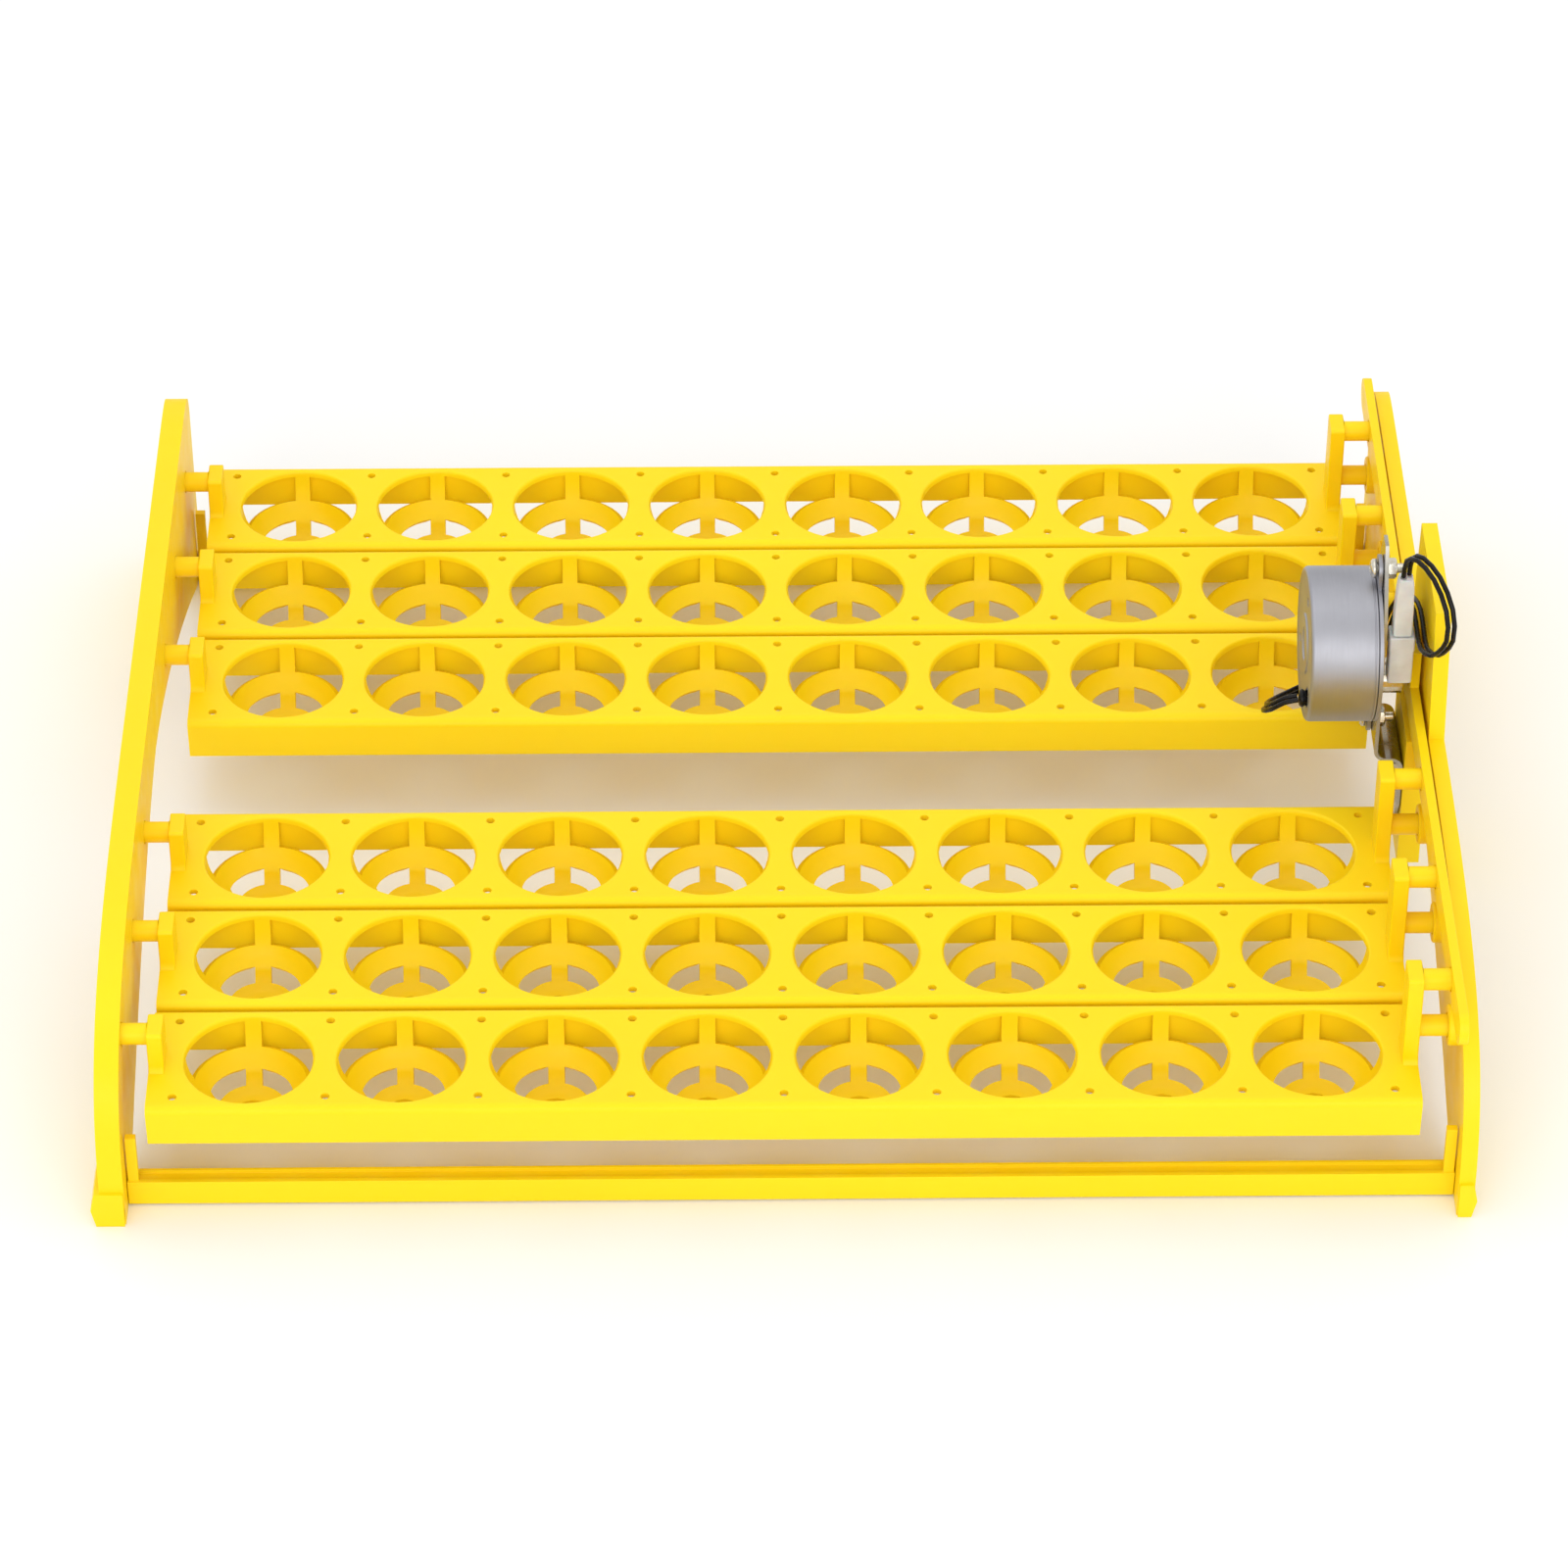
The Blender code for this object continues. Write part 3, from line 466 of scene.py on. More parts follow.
def prism(outline, plane, low, high):
    """Extrude a closed outline: plane YZ runs along X, plane XZ along Y."""
    bm = bmesh.new()
    if plane == "YZ":
        corners = [bm.verts.new((low, a, b)) for a, b in outline]
        along = (high - low, 0.0, 0.0)
    else:
        corners = [bm.verts.new((a, low, b)) for a, b in outline]
        along = (0.0, high - low, 0.0)
    face = bm.faces.new(corners)
    grown = bmesh.ops.extrude_face_region(bm, geom=[face])
    moved = [item for item in grown["geom"] if isinstance(item, bmesh.types.BMVert)]
    bmesh.ops.translate(bm, vec=along, verts=moved)
    return mesh_of(bm, "prism")


def loose(name, mesh):
    item = bpy.data.objects.new(name, mesh)
    bpy.context.scene.collection.objects.link(item)
    return item


def settled(item):
    """The object's mesh with its modifiers worked in; the object itself goes."""
    graph = bpy.context.evaluated_depsgraph_get()
    mesh = bpy.data.meshes.new_from_object(item.evaluated_get(graph), depsgraph=graph)
    bpy.data.objects.remove(item, do_unlink=True)
    return mesh


def combined(base, add=(), cut=(), common=()):
    """One closed mesh: base joined with add, with cut taken out, inside common."""
    item = loose("base", base)
    tools = []
    for operation, meshes in (("UNION", add), ("DIFFERENCE", cut), ("INTERSECT", common)):
        for mesh in meshes:
            tool = loose("tool", mesh)
            modifier = item.modifiers.new("boolean", "BOOLEAN")
            modifier.operation = operation
            modifier.solver = "EXACT"
            modifier.object = tool
            tools.append(tool)
    mesh = settled(item)
    for tool in tools:
        bpy.data.objects.remove(tool, do_unlink=True)
    return mesh


def soften(item, width):
    """Rounded edges and even shading."""
    item.data.polygons.foreach_set("use_smooth", [True] * len(item.data.polygons))
    if width > 0.0:
        bevel = item.modifiers.new("edges", "BEVEL")
        bevel.width = width
        bevel.segments = 2
        bevel.limit_method = "ANGLE"
        bevel.angle_limit = math.radians(40.0)
        bevel.harden_normals = True
    weighted = item.modifiers.new("shading", "WEIGHTED_NORMAL")
    weighted.keep_sharp = True


def piece(name, mesh, material, body, replaces=(), edge=0.35 * MM):
    item = loose(name, mesh)
    mesh.materials.clear()
    mesh.materials.append(material)
    soften(item, edge)
    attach(item, body)
    if replaces:
        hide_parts(*replaces)
    return item


# --- Rails --------------------------------------------------------------------

def level_points(radius, z, centre):
    """One level of a cup: each quarter has a rib, then even steps to the next rib."""
    half = math.asin(min(RIB_WIDTH / 2.0 / radius, 0.6))
    points = []
    for quarter in range(4):
        middle = math.pi / 2.0 * quarter
        angles = [middle - half, middle]
        free = math.pi / 2.0 - 2.0 * half
        angles += [middle + half + free * step / QUARTER_STEPS for step in range(QUARTER_STEPS)]
        points += [centre + Vector((radius * math.cos(a), radius * math.sin(a), z)) for a in angles]
    return points


def is_rib(column):
    return column % (QUARTER_STEPS + 2) < 2


def add_levels(bm, loop, levels, centre, all_round):
    """Carry a loop of vertices down through the levels, over the ribs alone or all round."""
    for radius, z in levels:
        lower = [bm.verts.new(point) for point in level_points(radius * MM, z * MM, centre)]
        for column in range(len(loop)):
            after = (column + 1) % len(loop)
            if all_round or is_rib(column):
                bm.faces.new((loop[column], lower[column], lower[after], loop[after]))
        loop = lower
    return loop


def add_cup(bm, centre):
    """A lipped opening with a basket of four ribs, a sloping band and a seat."""
    radius, z = RIM_LEVELS[0]
    rim = [bm.verts.new(point) for point in level_points(radius * MM, z * MM, centre)]
    loop = add_levels(bm, rim, RIM_LEVELS[1:], centre, True)
    loop = add_levels(bm, loop, UPPER_RIB_LEVELS[1:], centre, False)
    loop = add_levels(bm, loop, BAND_LEVELS[1:], centre, True)
    loop = add_levels(bm, loop, LOWER_RIB_LEVELS[1:], centre, False)
    add_levels(bm, loop, SEAT_LEVELS[1:], centre, True)
    return ring_edges(bm, rim)


def ring_edges(bm, corners):
    edges = []
    for index, corner in enumerate(corners):
        after = corners[(index + 1) % len(corners)]
        edges.append(bm.edges.get((corner, after)) or bm.edges.new((corner, after)))
    return edges


def add_vent_holes(bm):
    """The small holes between the cups, two at each cup boundary."""
    edges = []
    half = CUPS_PER_RAIL // 2
    for index in range(-half, half + 1):
        for side in (-1.0, 1.0):
            x = index * VENT_HOLE_PITCH
            corners = []
            for step in range(VENT_HOLE_SIDES):
                angle = 2.0 * math.pi * step / VENT_HOLE_SIDES
                corners.append(bm.verts.new((x + VENT_HOLE_R * math.cos(angle),
                                             side * VENT_HOLE_Y + VENT_HOLE_R * math.sin(angle), 0.0)))
            edges += ring_edges(bm, corners)
    return edges


def add_apron(bm, first, last, side):
    """The rolled edge and the apron below it; gives the corners at each end."""
    at_first = [first]
    at_last = [last]
    profile = []
    for step in range(1, EDGE_STEPS + 1):
        angle = math.pi / 2.0 * step / EDGE_STEPS
        profile.append((RAIL_HALF_WIDTH - RAIL_EDGE_R * (1.0 - math.sin(angle)),
                        -RAIL_EDGE_R * (1.0 - math.cos(angle))))
    profile.append((RAIL_HALF_WIDTH - RAIL_DRAFT * 0.5, -RAIL_APRON * APRON_MIDDLE))
    profile.append((RAIL_HALF_WIDTH - RAIL_DRAFT, -RAIL_APRON))
    for y, z in profile:
        at_first.append(bm.verts.new((first.co.x, side * y, z)))
        at_last.append(bm.verts.new((last.co.x, side * y, z)))
        bm.faces.new((at_first[-2], at_last[-2], at_last[-1], at_first[-1]))
    return at_first, at_last


def rail_sheet():
    """The moulded sheet of one rail: roof, rolled edges, aprons, end walls and eight cups."""
    bm = bmesh.new()
    roof_y = RAIL_HALF_WIDTH - RAIL_EDGE_R
    end = RAIL_HALF_LENGTH
    corners = [bm.verts.new(point) for point in ((-end, -roof_y, 0.0), (end, -roof_y, 0.0),
                                                 (end, roof_y, 0.0), (-end, roof_y, 0.0))]
    edges = ring_edges(bm, corners)
    for index in range(CUPS_PER_RAIL):
        x = (index - (CUPS_PER_RAIL - 1) / 2.0) * CUP_PITCH
        edges += add_cup(bm, Vector((x, 0.0, 0.0)))
    edges += add_vent_holes(bm)
    bmesh.ops.triangle_fill(bm, edges=edges, use_beauty=True, use_dissolve=False)
    front_left, front_right = add_apron(bm, corners[0], corners[1], -1.0)
    back_left, back_right = add_apron(bm, corners[3], corners[2], 1.0)
    bm.faces.new(front_left + back_left[::-1])
    bm.faces.new(front_right + back_right[::-1])
    bmesh.ops.recalc_face_normals(bm, faces=bm.faces)
    roof = [face for face in bm.faces if min(v.co.z for v in face.verts) > -0.01 * MM]
    if roof[0].normal.z < 0.0:
        bmesh.ops.reverse_faces(bm, faces=bm.faces)
    mesh = bpy.data.meshes.new("rail_sheet")
    bm.to_mesh(mesh)
    bm.free()
    return mesh


def rail_mesh():
    item = loose("rail_sheet", rail_sheet())
    sheet = item.modifiers.new("sheet", "SOLIDIFY")
    sheet.thickness = RAIL_SHEET
    sheet.offset = -1.0
    sheet.use_even_offset = True
    return settled(item)


def arm_outline(top):
    """An upright arm with a rounded head and small fillets where it meets the rail."""
    half = ARM_HALF_WIDTH
    corner = ARM_CORNER_R
    head = []
    for step in range(CORNER_STEPS + 1):
        angle = math.pi / 2.0 * step / CORNER_STEPS
        head.append((half - corner * (1.0 - math.cos(angle)), top - corner * (1.0 - math.sin(angle))))
    flare = [(half + out * MM, up * MM) for out, up in ARM_FLARE]
    right = flare + head
    return right + [(-y, z) for y, z in reversed(right)]


def left_arm():
    end = RAIL_HALF_LENGTH
    arm = prism(arm_outline(-RAIL_TOP + PIN_COVER), "YZ", -end, ARM_THICK - end)
    return combined(arm, add=(pin(-end + MM, LEFT_PIN_END, 0.0, -RAIL_TOP, PIN_R),))


def right_arm():
    end = RAIL_HALF_LENGTH
    arm = prism(arm_outline(-RAIL_TOP + LINK_ARM + PIN_COVER), "YZ", end - ARM_THICK, end)
    lower_pin = pin(end - MM, RIGHT_PIN_END, 0.0, -RAIL_TOP, PIN_R)
    upper_pin = pin(end - MM, LINK_PIN_END, 0.0, -RAIL_TOP + LINK_ARM, PIN_R)
    return combined(arm, add=(lower_pin, upper_pin))


def make_rails(plastic):
    shapes = (("tray", rail_mesh(), 0.30 * MM), ("left_arm", left_arm(), 0.45 * MM),
              ("right_arm", right_arm(), 0.45 * MM))
    for number in range(1, 7):
        joint = JOINTS["rail_%d_tilt" % number]
        top = Vector(joint["pos_m"]) + Vector((0.0, 0.0, RAIL_TOP))
        for part, shape, edge in shapes:
            mesh = shape.copy()
            mesh.transform(Matrix.Translation(top))
            node = ("rail_%d" % number,)
            piece("rail_%d_%s" % (number, part), mesh, plastic, joint["child"],
                  replaces=node, edge=edge)


# --- Side plates and crossbars --------------------------------------------------

def top_edge(y):
    """Height of a side plate: arched towards the front, square at the back."""
    power, root = BACK_SHAPE if y > 0.0 else FRONT_SHAPE
    share = min(abs(y) / PLATE_HALF_LENGTH, 1.0)
    return PLATE_PEAK * max(1.0 - share ** power, 0.0) ** root


def lower_edge(y):
    share = min(abs(y) / ARCH_HALF_LENGTH, 1.0)
    return ARCH_PEAK * (1.0 - share ** ARCH_POWER)


def plate_stations():
    """Half-plate stations, closer together where the plate turns down to its foot."""
    angles = [math.pi / 2.0 * step / PLATE_STEPS for step in range(PLATE_STEPS + 1)]
    return [PLATE_HALF_LENGTH * math.sin(angle) for angle in angles]


def mirrored(half):
    return [-y for y in reversed(half)] + half[1:]


def plate_outline():
    top = [(y, top_edge(y)) for y in mirrored(plate_stations())]
    span = mirrored([ARCH_HALF_LENGTH * step / ARCH_STEPS for step in range(ARCH_STEPS + 1)])
    return top + [(y, lower_edge(y)) for y in reversed(span)]


def flange_outline():
    foot_z = FOOT_HEIGHT / 2.0
    crest = [(y, top_edge(y)) for y in mirrored(plate_stations()[:-1])]
    outer = [(-PLATE_HALF_LENGTH, foot_z)] + crest + [(PLATE_HALF_LENGTH, foot_z)]
    scale = 1.0 - FLANGE_THICK / PLATE_HALF_LENGTH
    inner = [(y * scale, max(z - FLANGE_THICK, foot_z)) for y, z in outer]
    return outer + list(reversed(inner))


def foot_mesh(inner_x, side):
    """A foot block whose outer face comes to a low ridge."""
    away = 1.0 if inner_x > 0.0 else -1.0
    outer = away * FOOT_X
    shy = outer - away * FOOT_RIDGE
    outline = [(inner_x, 0.0), (shy, 0.0), (outer, FOOT_HEIGHT / 2.0), (shy, FOOT_HEIGHT),
               (inner_x, FOOT_HEIGHT)]
    low_y, high_y = sorted(side * y for y in FOOT_Y)
    return prism(outline, "XZ", low_y, high_y)


def row_joints():
    return [Vector(JOINTS["rail_%d_tilt" % number]["pos_m"]) for number in range(1, 7)]


def left_plate():
    wall = prism(plate_outline(), "YZ", *LEFT_WALL_X)
    add = [prism(flange_outline(), "YZ", *LEFT_FLANGE_X)]
    add += [foot_mesh(LEFT_FOOT_X, side) for side in (-1.0, 1.0)]
    bores = [bar_x(*LEFT_BORE_X, at.y, at.z, BORE_R) for at in row_joints()]
    return combined(wall, add=add, cut=bores)


def tower_outline():
    return [(TOWER_FRONT[0], TOWER_LOW), (TOWER_BACK[0], TOWER_LOW), (TOWER_BACK[1], TOWER_TOP),
            (TOWER_FRONT[1], TOWER_TOP)]


def tower_rim_outline():
    t = FLANGE_THICK
    base = top_edge(0.0) - 1.5 * MM
    front = TOWER_FRONT[0] + TOWER_RIM_INSET
    back = TOWER_BACK[0] - TOWER_RIM_INSET
    outer = [(front, base), (TOWER_FRONT[1], TOWER_TOP), (TOWER_BACK[1], TOWER_TOP), (back, base)]
    return outer + [(back - t, base), (TOWER_BACK[1] - t, TOWER_TOP - t),
                    (TOWER_FRONT[1] + t, TOWER_TOP - t), (front + t, base)]


def right_plate():
    wall = prism(plate_outline(), "YZ", *RIGHT_WALL_X)
    add = [prism(flange_outline(), "YZ", *RIGHT_FLANGE_X)]
    add += [foot_mesh(RIGHT_FOOT_X, side) for side in (-1.0, 1.0)]
    add.append(prism(tower_outline(), "YZ", *RIGHT_WALL_X))
    add.append(prism(tower_rim_outline(), "YZ", *RIGHT_FLANGE_X))
    add.append(box((PAD_X, BRACKET_Y[0] - PAD_MARGIN, PAD_Z[0]),
                   (RIGHT_WALL_X[1], BRACKET_Y[1] + PAD_MARGIN, PAD_Z[1])))
    for at in row_joints():
        profile = ((BOSS_X, BOSS_R - BOSS_EDGE), (BOSS_X + BOSS_EDGE, BOSS_R),
                   (RIGHT_WALL_X[0] + MM, BOSS_R))
        add.append(turned(profile, at.y, at.z, 40))
    cut = [bar_x(*RIGHT_BORE_X, at.y, at.z, BORE_R) for at in row_joints()]
    cut += [bar_x(*PAD_HOLE_X, MOTOR_Y, z, SCREW_HOLE_R) for z in BRACKET_SCREW_Z]
    return combined(wall, add=add, cut=cut)


def crossbar_mesh(node, side):
    """A bar with a shallow channel along its top and an upright tab at each end."""
    low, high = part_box(node)
    inner = min(abs(low.y), abs(high.y))
    outer = max(abs(low.y), abs(high.y))
    channel = BAR_TOP - BAR_CHANNEL
    front_lip = outer - BAR_LIP_OUTER
    back_lip = inner + BAR_LIP_INNER
    half = [(inner, low.z), (outer, low.z), (outer, BAR_TOP), (front_lip, BAR_TOP), (front_lip, channel),
            (back_lip, channel), (back_lip, BAR_TOP), (inner, BAR_TOP)]
    bar = prism([(side * y, z) for y, z in half], "YZ", low.x, high.x)
    tabs = []
    tab_y = side * (outer - BAR_TAB_INSET)
    near, far = BAR_TAB_X
    for start, stop in ((low.x + near, low.x + far), (high.x - far, high.x - near)):
        tabs.append(box((start, tab_y - BAR_TAB_HALF, BAR_TOP - 2.0 * MM),
                        (stop, tab_y + BAR_TAB_HALF, high.z)))
    return combined(bar, add=tabs)


def make_stand(plastic):
    piece("left_plate", left_plate(), plastic, "frame",
          replaces=("side_plate_left",), edge=0.6 * MM)
    piece("right_plate", right_plate(), plastic, "frame",
          replaces=("side_plate_right",), edge=0.6 * MM)
    for name, node, side in (("front_bar", "crossbar_front", -1.0), ("back_bar", "crossbar_back", 1.0)):
        piece(name, crossbar_mesh(node, side), plastic, "frame",
              replaces=(node,), edge=0.35 * MM)


# --- Link bar -------------------------------------------------------------------

def round_ended_bar(low, high, straight, half_height, middle_z):
    """A bar along Y with half-round ends, its middles at straight and -straight."""
    outline = []
    for side in (1.0, -1.0):
        for step in range(HALF_TURN_STEPS + 1):
            angle = -math.pi / 2.0 + math.pi * step / HALF_TURN_STEPS
            outline.append((side * (straight + half_height * math.cos(angle)),
                            middle_z + side * half_height * math.sin(angle)))
    return prism(outline, "YZ", low, high)


def link_mesh():
    low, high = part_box("link_bar")
    middle_z = row_joints()[0].z + LINK_ARM
    bar = round_ended_bar(low.x, high.x, high.y - LINK_HALF_HEIGHT, LINK_HALF_HEIGHT, middle_z)
    lug = box((low.x, MOTOR_Y - LUG_HALF_WIDTH, middle_z), (high.x, MOTOR_Y + LUG_HALF_WIDTH, high.z))
    slot = box((low.x - MM, MOTOR_Y - SLOT_HALF_WIDTH, SLOT_Z[0]),
               (high.x + MM, MOTOR_Y + SLOT_HALF_WIDTH, SLOT_Z[1]))
    bores = [bar_x(low.x - MM, high.x + MM, at.y, middle_z, BORE_R) for at in row_joints()]
    return combined(bar, add=(lug,), cut=[slot] + bores)


# --- Motor, bracket and fasteners -------------------------------------------------

def can_mesh():
    """The pressed can: a raised ring and a rolled rim on its closed end."""
    can = turned([(x * MM, radius * MM) for x, radius in CAN_PROFILE], MOTOR_Y, MOTOR_Z, 96)
    dimples = []
    for step in range(3):
        angle = math.radians(90.0 + 120.0 * step)
        dimples.append(bar_x(*DIMPLE_X, MOTOR_Y + DIMPLE_RING_R * math.cos(angle),
                             MOTOR_Z + DIMPLE_RING_R * math.sin(angle), DIMPLE_R))
    bush_hole = bar_x(*BUSH_HOLE_X, LEAD_EXIT_Y, LEAD_EXIT_Z, BUSH_HOLE_R)
    return combined(can, cut=dimples + [bush_hole])


def face_mesh():
    """The can's cover disc with two round-ended ears."""
    low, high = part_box("motor_face")
    disc = bar_x(low.x, high.x, MOTOR_Y, MOTOR_Z, MOTOR_R, 96)
    ears = []
    holes = [bar_x(low.x - MM, high.x + MM, MOTOR_Y, SHAFT_Z, FACE_BORE_R)]
    for side in (1.0, -1.0):
        z = MOTOR_Z + side * EAR_SPACING
        low_z, high_z = sorted((z, MOTOR_Z + side * 0.7 * EAR_SPACING))
        ears.append(box((low.x, MOTOR_Y - EAR_R, low_z), (high.x, MOTOR_Y + EAR_R, high_z)))
        ears.append(bar_x(low.x, high.x, MOTOR_Y, z, EAR_R, 40))
        holes.append(bar_x(low.x - MM, high.x + MM, MOTOR_Y, z, EAR_HOLE_R))
    return combined(disc, add=ears, cut=holes)


def bend(centre_x, centre_z, radius, start, stop):
    points = []
    for step in range(BEND_STEPS + 1):
        angle = math.radians(start + (stop - start) * step / BEND_STEPS)
        points.append((centre_x + radius * math.cos(angle), centre_z + radius * math.sin(angle)))
    return points


def bracket_outline():
    """Z-bent sheet seen along Y: upright, outward shelf, then the tail."""
    t = BRACKET_SHEET
    r = BRACKET_BEND_R
    x = BRACKET_X
    knee = (x + t + r, SHELF_Z + r)
    heel = (TAIL_X - r, SHELF_Z - t - r)
    upper = bend(*knee, r, 180, 270) + bend(*heel, r + t, 90, 0)
    tail = [(TAIL_X + t, TAIL_Z), (TAIL_X, TAIL_Z)]
    lower = bend(*heel, r, 0, 90) + bend(*knee, r + t, 270, 180)
    return upper + tail + lower + [(x, BRACKET_TOP), (x + t, BRACKET_TOP)]


def wedge(near_y, far_y, z_base, z_tip):
    """A cutter that slopes from one edge of the sheet towards its centre."""
    outside = near_y * 4.0 - far_y * 3.0
    outline = [(near_y, z_base), (far_y, z_tip), (outside, z_tip), (outside, z_base)]
    return prism(outline, "YZ", *WEDGE_X)


def bracket_mesh():
    low_y, high_y = BRACKET_Y
    sheet = prism(bracket_outline(), "XZ", low_y, high_y)
    cut = []
    for edge, side in ((low_y - WEDGE_MARGIN, -1.0), (high_y + WEDGE_MARGIN, 1.0)):
        cut.append(wedge(edge, MOTOR_Y + side * EAR_TIP_HALF, *EAR_TAPER_Z))
        cut.append(wedge(edge, MOTOR_Y + side * TAIL_TIP_HALF, TAIL_TAPER_TOP, TAIL_Z - MM))
        cut.append(bar_x(*UPRIGHT_HOLE_X, MOTOR_Y, MOTOR_Z + side * EAR_SPACING, EAR_HOLE_R))
    cut.append(bar_x(*UPRIGHT_HOLE_X, MOTOR_Y, SHAFT_Z, BRACKET_SHAFT_HOLE_R))
    cut += [bar_x(*TAIL_HOLE_X, MOTOR_Y, z, SCREW_HOLE_R) for z in BRACKET_SCREW_Z]
    return combined(sheet, cut=cut)


def thread(start, stop, radius):
    """The ridged outline of a threaded shank."""
    profile = []
    x = start
    while x < stop - THREAD_PITCH:
        profile += [(x, radius - THREAD_DEPTH), (x + THREAD_PITCH / 2.0, radius)]
        x += THREAD_PITCH
    return profile + [(stop - 0.3 * MM, radius - THREAD_DEPTH), (stop, radius - 0.6 * MM), (stop, 0.0)]


def screw_mesh(node):
    """A pan head with a cross recess on a threaded shank."""
    low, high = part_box(node)
    y = (low.y + high.y) / 2.0
    z = (low.z + high.z) / 2.0
    radius = (high.y - low.y) / 2.0
    under = low.x + HEAD_HEIGHT
    head = [(low.x, 0.0), (low.x, radius * 0.45), (low.x + 0.25 * MM, radius * 0.78),
            (low.x + 0.8 * MM, radius * 0.97), (low.x + 1.2 * MM, radius), (under, radius)]
    body = turned(head + thread(under, high.x, THREAD_R), y, z, 32)
    slots = []
    for half_y, half_z in ((CROSS_HALF_LENGTH, CROSS_HALF_WIDTH), (CROSS_HALF_WIDTH, CROSS_HALF_LENGTH)):
        slots.append(box((low.x - MM, y - half_y, z - half_z),
                         (low.x + CROSS_DEPTH, y + half_y, z + half_z)))
    return combined(body, cut=slots)


def nut_mesh(node):
    """A hexagon nut, its corners chamfered on both faces."""
    low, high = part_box(node)
    y = (low.y + high.y) / 2.0
    z = (low.z + high.z) / 2.0
    radius = max(high.y - low.y, high.z - low.z) / 2.0
    hexagon = bar_x(low.x, high.x, y, z, radius, 6)
    inner = radius * 0.80
    outer = radius * 1.02
    chamfer = turned(((low.x - 0.1 * MM, inner), (low.x + 0.5 * MM, outer),
                      (high.x - 0.5 * MM, outer), (high.x + 0.1 * MM, inner)), y, z, 48)
    bore = bar_x(low.x - MM, high.x + MM, y, z, NUT_BORE_R)
    return combined(hexagon, cut=(bore,), common=(chamfer,))


# --- Connector and leads ------------------------------------------------------------

def rounded_loft(sections, centre_x, centre_y, corner):
    """A body with rounded corners through (z, half x, half y) sections."""
    bm = bmesh.new()
    rings = []
    for z, half_x, half_y in sections:
        ring = []
        for quarter, (sx, sy) in enumerate(((1, 1), (-1, 1), (-1, -1), (1, -1))):
            for step in range(CORNER_STEPS + 1):
                angle = math.pi / 2.0 * (quarter + step / CORNER_STEPS)
                ring.append(bm.verts.new((
                    centre_x + sx * (half_x - corner) + corner * math.cos(angle),
                    centre_y + sy * (half_y - corner) + corner * math.sin(angle), z)))
        rings.append(ring)
    for lower, upper in zip(rings, rings[1:]):
        for index in range(len(lower)):
            after = (index + 1) % len(lower)
            bm.faces.new((lower[index], lower[after], upper[after], upper[index]))
    bm.faces.new(rings[0])
    bm.faces.new(rings[-1])
    return mesh_of(bm, "loft")


def connector_half(node, shares):
    """A moulded half: shares are (height, width in x, width in y) parts of the node's box."""
    low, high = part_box(node)
    size = high - low
    centre = (low + high) / 2.0
    sections = [(low.z + size.z * up, size.x / 2.0 * wide, size.y / 2.0 * deep)
                for up, wide, deep in shares]
    return rounded_loft(sections, centre.x, centre.y, CONNECTOR_CORNER_R)


def lead_hole(point):
    """A short upright tool for the socket that one lead goes into."""
    bm = bmesh.new()
    bmesh.ops.create_cone(bm, cap_ends=True, segments=20, radius1=LEAD_HOLE_R, radius2=LEAD_HOLE_R,
                          depth=LEAD_HOLE_DEPTH)
    bmesh.ops.translate(bm, vec=(point.x, point.y, point.z - 1.0 * MM), verts=bm.verts)
    return mesh_of(bm, "lead_hole")


def make_connector(nylon, lead_ends):
    plug_shape = connector_half("connector_plug", PLUG_SHARES)
    low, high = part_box("connector_plug")
    latch = box((low.x + CONNECTOR_SIDE, low.y + 0.05 * MM, low.z + LATCH_Z[0]),
                (high.x - CONNECTOR_SIDE, low.y + 1.2 * MM, low.z + LATCH_Z[1]))
    holes = [lead_hole(point) for point in lead_ends]
    plug = piece("plug_half", combined(plug_shape, add=(latch,), cut=holes), nylon,
                 "frame", replaces=("connector_plug",), edge=0.2 * MM)
    socket_shape = connector_half("connector_socket", SOCKET_SHARES)
    low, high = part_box("connector_socket")
    mouth = box((low.x + CONNECTOR_SIDE, low.y + MOUTH_WALL, high.z - MOUTH_DEPTH),
                (high.x - CONNECTOR_SIDE, high.y - MOUTH_WALL, high.z + MM))
    piece("socket_half", combined(socket_shape, cut=(mouth,)), nylon, "frame",
          replaces=("connector_socket",), edge=0.2 * MM)
    return plug


def smooth_route(knots, spacing):
    """Catmull-Rom points through the knots, one for every few diameters."""
    points = []
    last = len(knots) - 1
    for i in range(last):
        p0 = knots[max(i - 1, 0)]
        p1 = knots[i]
        p2 = knots[i + 1]
        p3 = knots[min(i + 2, last)]
        count = max(2, round((p2 - p1).length / spacing))
        for step in range(count):
            t = step / count
            a = 2.0 * p1
            b = (p2 - p0) * t
            c = (2.0 * p0 - 5.0 * p1 + 4.0 * p2 - p3) * t * t
            d = (3.0 * p1 - p0 - 3.0 * p2 + p3) * t * t * t
            points.append((a + b + c + d) * 0.5)
    points.append(knots[last])
    return points


def side_by_side(points, offset):
    """Shift a route sideways by a steady distance without twisting it."""
    side = Vector((0.0, 1.0, 0.0))
    shifted = []
    for i, point in enumerate(points):
        along = (points[min(i + 1, len(points) - 1)] - points[max(i - 1, 0)]).normalized()
        side = (side - along * side.dot(along)).normalized()
        shifted.append(point + side * offset)
    return shifted


def lead_routes():
    centre = smooth_route([Vector(knot) * MM for knot in LEAD_KNOTS], LEAD_POINT_SPACING)
    return {name: side_by_side(centre, side * LEAD_GAP / 2.0) for name, side in (("a", 1.0), ("b", -1.0))}


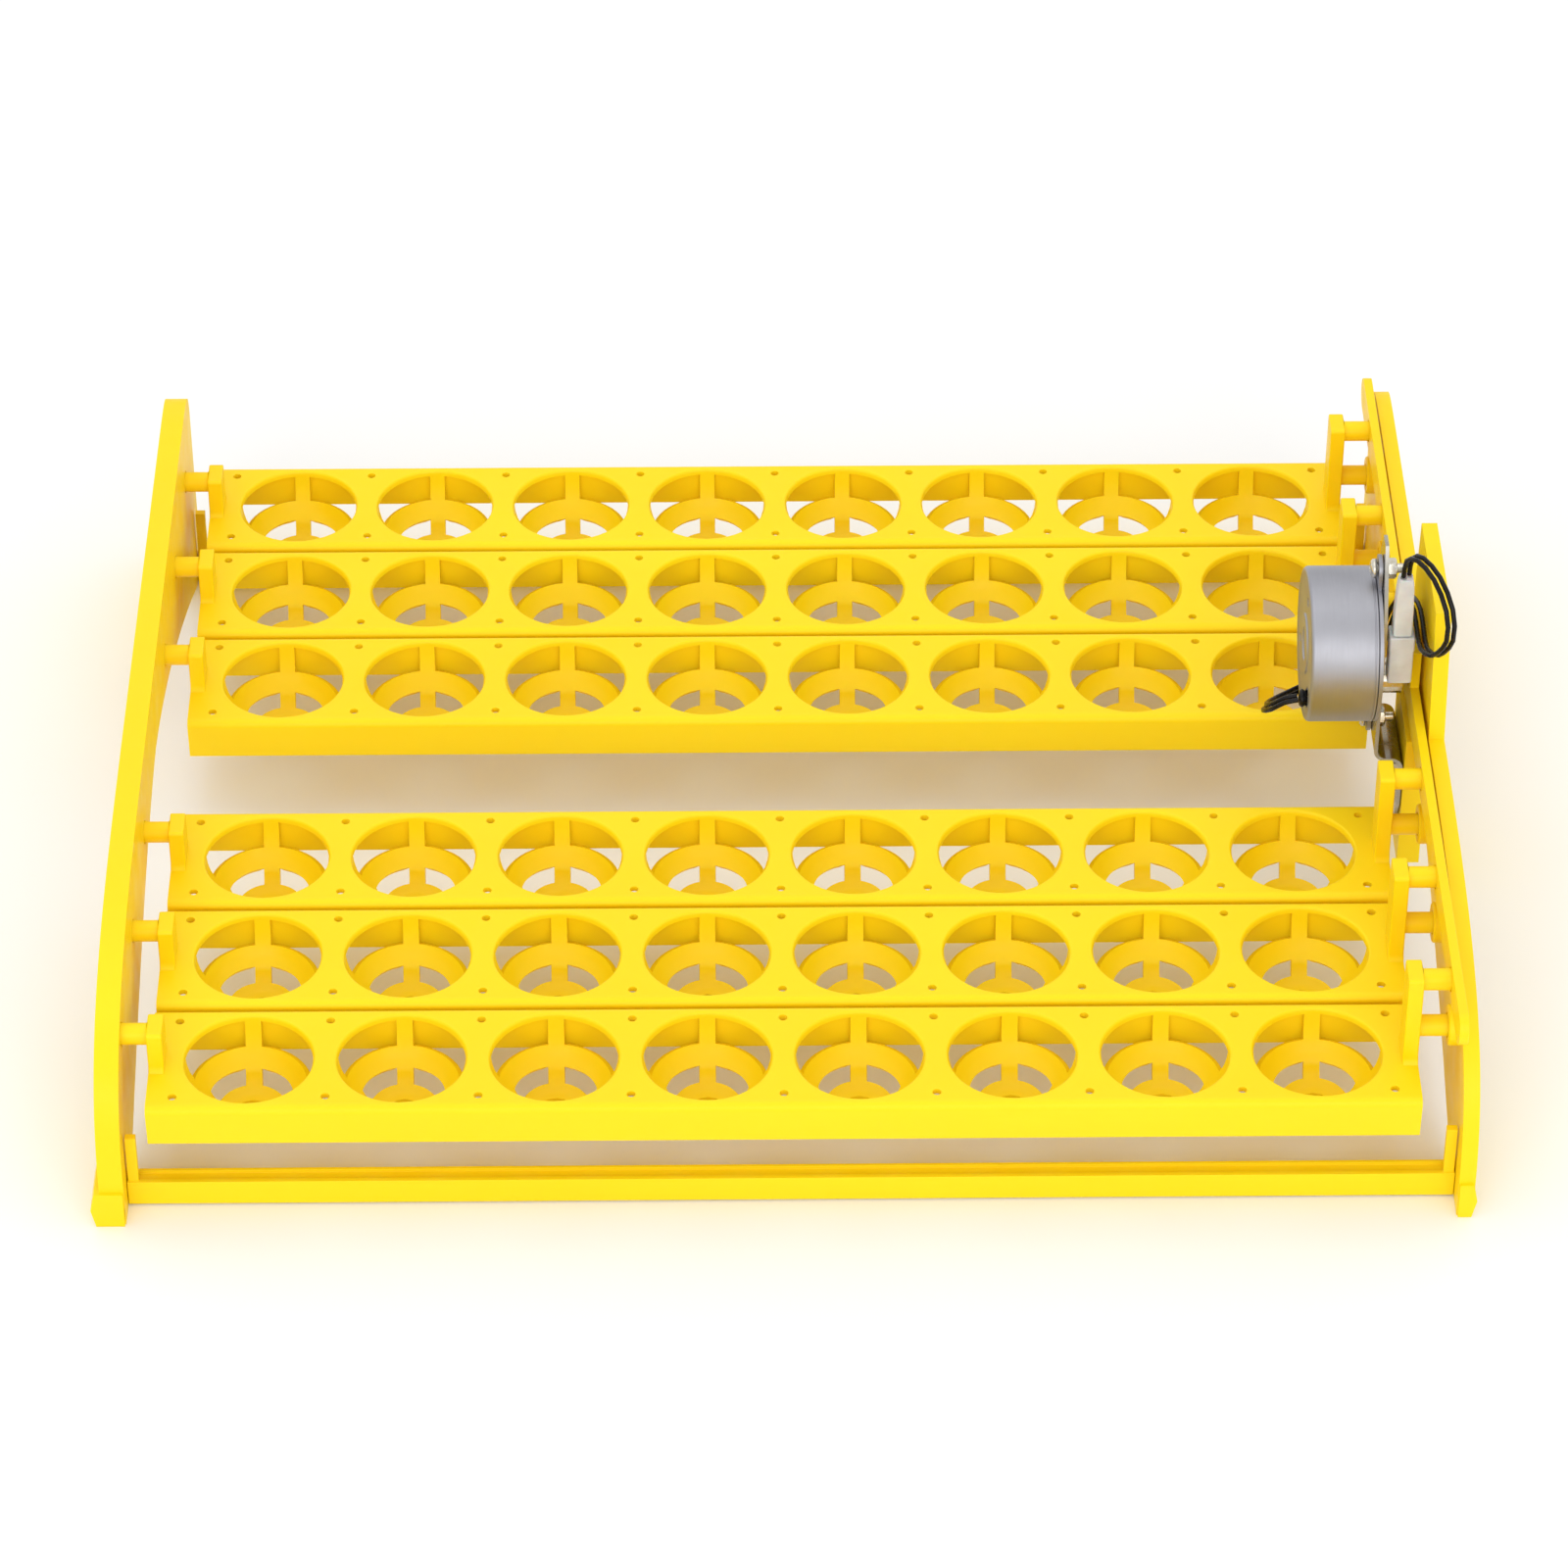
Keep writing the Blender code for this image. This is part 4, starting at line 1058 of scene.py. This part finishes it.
def make_lead(name, points, sheath):
    curve = bpy.data.curves.new("wire_" + name, "CURVE")
    curve.dimensions = "3D"
    curve.bevel_depth = LEAD_R
    curve.bevel_resolution = 4
    curve.use_fill_caps = True
    spline = curve.splines.new("POLY")
    spline.points.add(len(points) - 1)
    for slot, point in zip(spline.points, points):
        slot.co = (*point, 1.0)
    spline.use_smooth = True
    curve.materials.append(sheath)
    item = loose("wire_" + name, curve)
    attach(item, "frame")
    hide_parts("lead_" + name)
    return item


def grommet_mesh():
    """The rubber bush round the leads: a flange outside the can and a neck inside."""
    low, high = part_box("lead_grommet")
    radius = (high.z - low.z) / 2.0
    profile = ((low.x, radius * 0.55), (low.x, radius * 0.80), (low.x + 0.5 * MM, radius),
               (low.x + 1.4 * MM, radius), (low.x + 1.6 * MM, radius * 0.86), (high.x, radius * 0.86))
    return turned(profile, LEAD_EXIT_Y, LEAD_EXIT_Z, 32)


# --- Stage -----------------------------------------------------------------------

def make_floor():
    bm = bmesh.new()
    bmesh.ops.create_grid(bm, x_segments=8, y_segments=8, size=4.0)
    floor = loose("floor", mesh_of(bm, "floor"))
    floor.location.z = FLOOR_Z
    floor.data.materials.append(floor_paper())


def make_light(name, place, target, size, power):
    data = bpy.data.lights.new(name, "AREA")
    data.shape = "RECTANGLE"
    data.size, data.size_y = size
    data.energy = power
    light = loose(name, data)
    light.location = place
    light.rotation_mode = "QUATERNION"
    light.rotation_quaternion = (Vector(target) - Vector(place)).to_track_quat("-Z", "Y")


def make_stage():
    make_floor()
    world = bpy.data.worlds.new("studio")
    world.use_nodes = True
    sky = world.node_tree.nodes["Background"]
    sky.inputs["Color"].default_value = (1.0, 1.0, 1.0, 1.0)
    sky.inputs["Strength"].default_value = SKY_STRENGTH
    bpy.context.scene.world = world
    for name, place, target, size, power in LIGHTS:
        make_light(name, place, target, size, power)
    view = bpy.context.scene.view_settings
    view.view_transform = "Standard"
    view.look = "None"


# --- Build -----------------------------------------------------------------------

def dress_cad_node(node, material):
    """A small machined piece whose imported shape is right: better edges and material."""
    item = frame["nodes"][node]
    item.data.materials.clear()
    item.data.materials.append(material)
    soften(item, 0.2 * MM)


def main():
    make_camera()
    routes = lead_routes()
    sheath = lead_sheath()
    wires = {name: make_lead(name, points, sheath) for name, points in routes.items()}
    plastic = tray_plastic()
    nylon = connector_nylon()
    screw = screw_steel()
    motor = motor_steel()
    plug = make_connector(nylon, [points[-1] for points in routes.values()])
    piece("lead_bush", grommet_mesh(), sheath, "frame", replaces=("lead_grommet",), edge=0.0)
    make_rails(plastic)
    make_stand(plastic)
    piece("link", link_mesh(), plastic, "link", replaces=("link_bar",), edge=0.4 * MM)
    piece("can", can_mesh(), motor, "frame", replaces=("motor_can",), edge=0.1 * MM)
    piece("can_cover", face_mesh(), motor, "frame", replaces=("motor_face",), edge=0.15 * MM)
    piece("bracket", bracket_mesh(), zinc_steel(), "frame", replaces=("motor_bracket",),
          edge=0.2 * MM)
    for node in ("motor_bolt_top", "motor_bolt_bottom", "bracket_screw_upper", "bracket_screw_lower"):
        piece(node + "_threaded", screw_mesh(node), screw, "frame", replaces=(node,),
              edge=0.0)
    for node in ("motor_nut_top", "motor_nut_bottom"):
        piece(node + "_hexagon", nut_mesh(node), screw, "frame", replaces=(node,),
              edge=0.1 * MM)
    for node in ("shaft_bearing", "motor_shaft", "crank_arm"):
        dress_cad_node(node, screw)
    make_stage()


main()
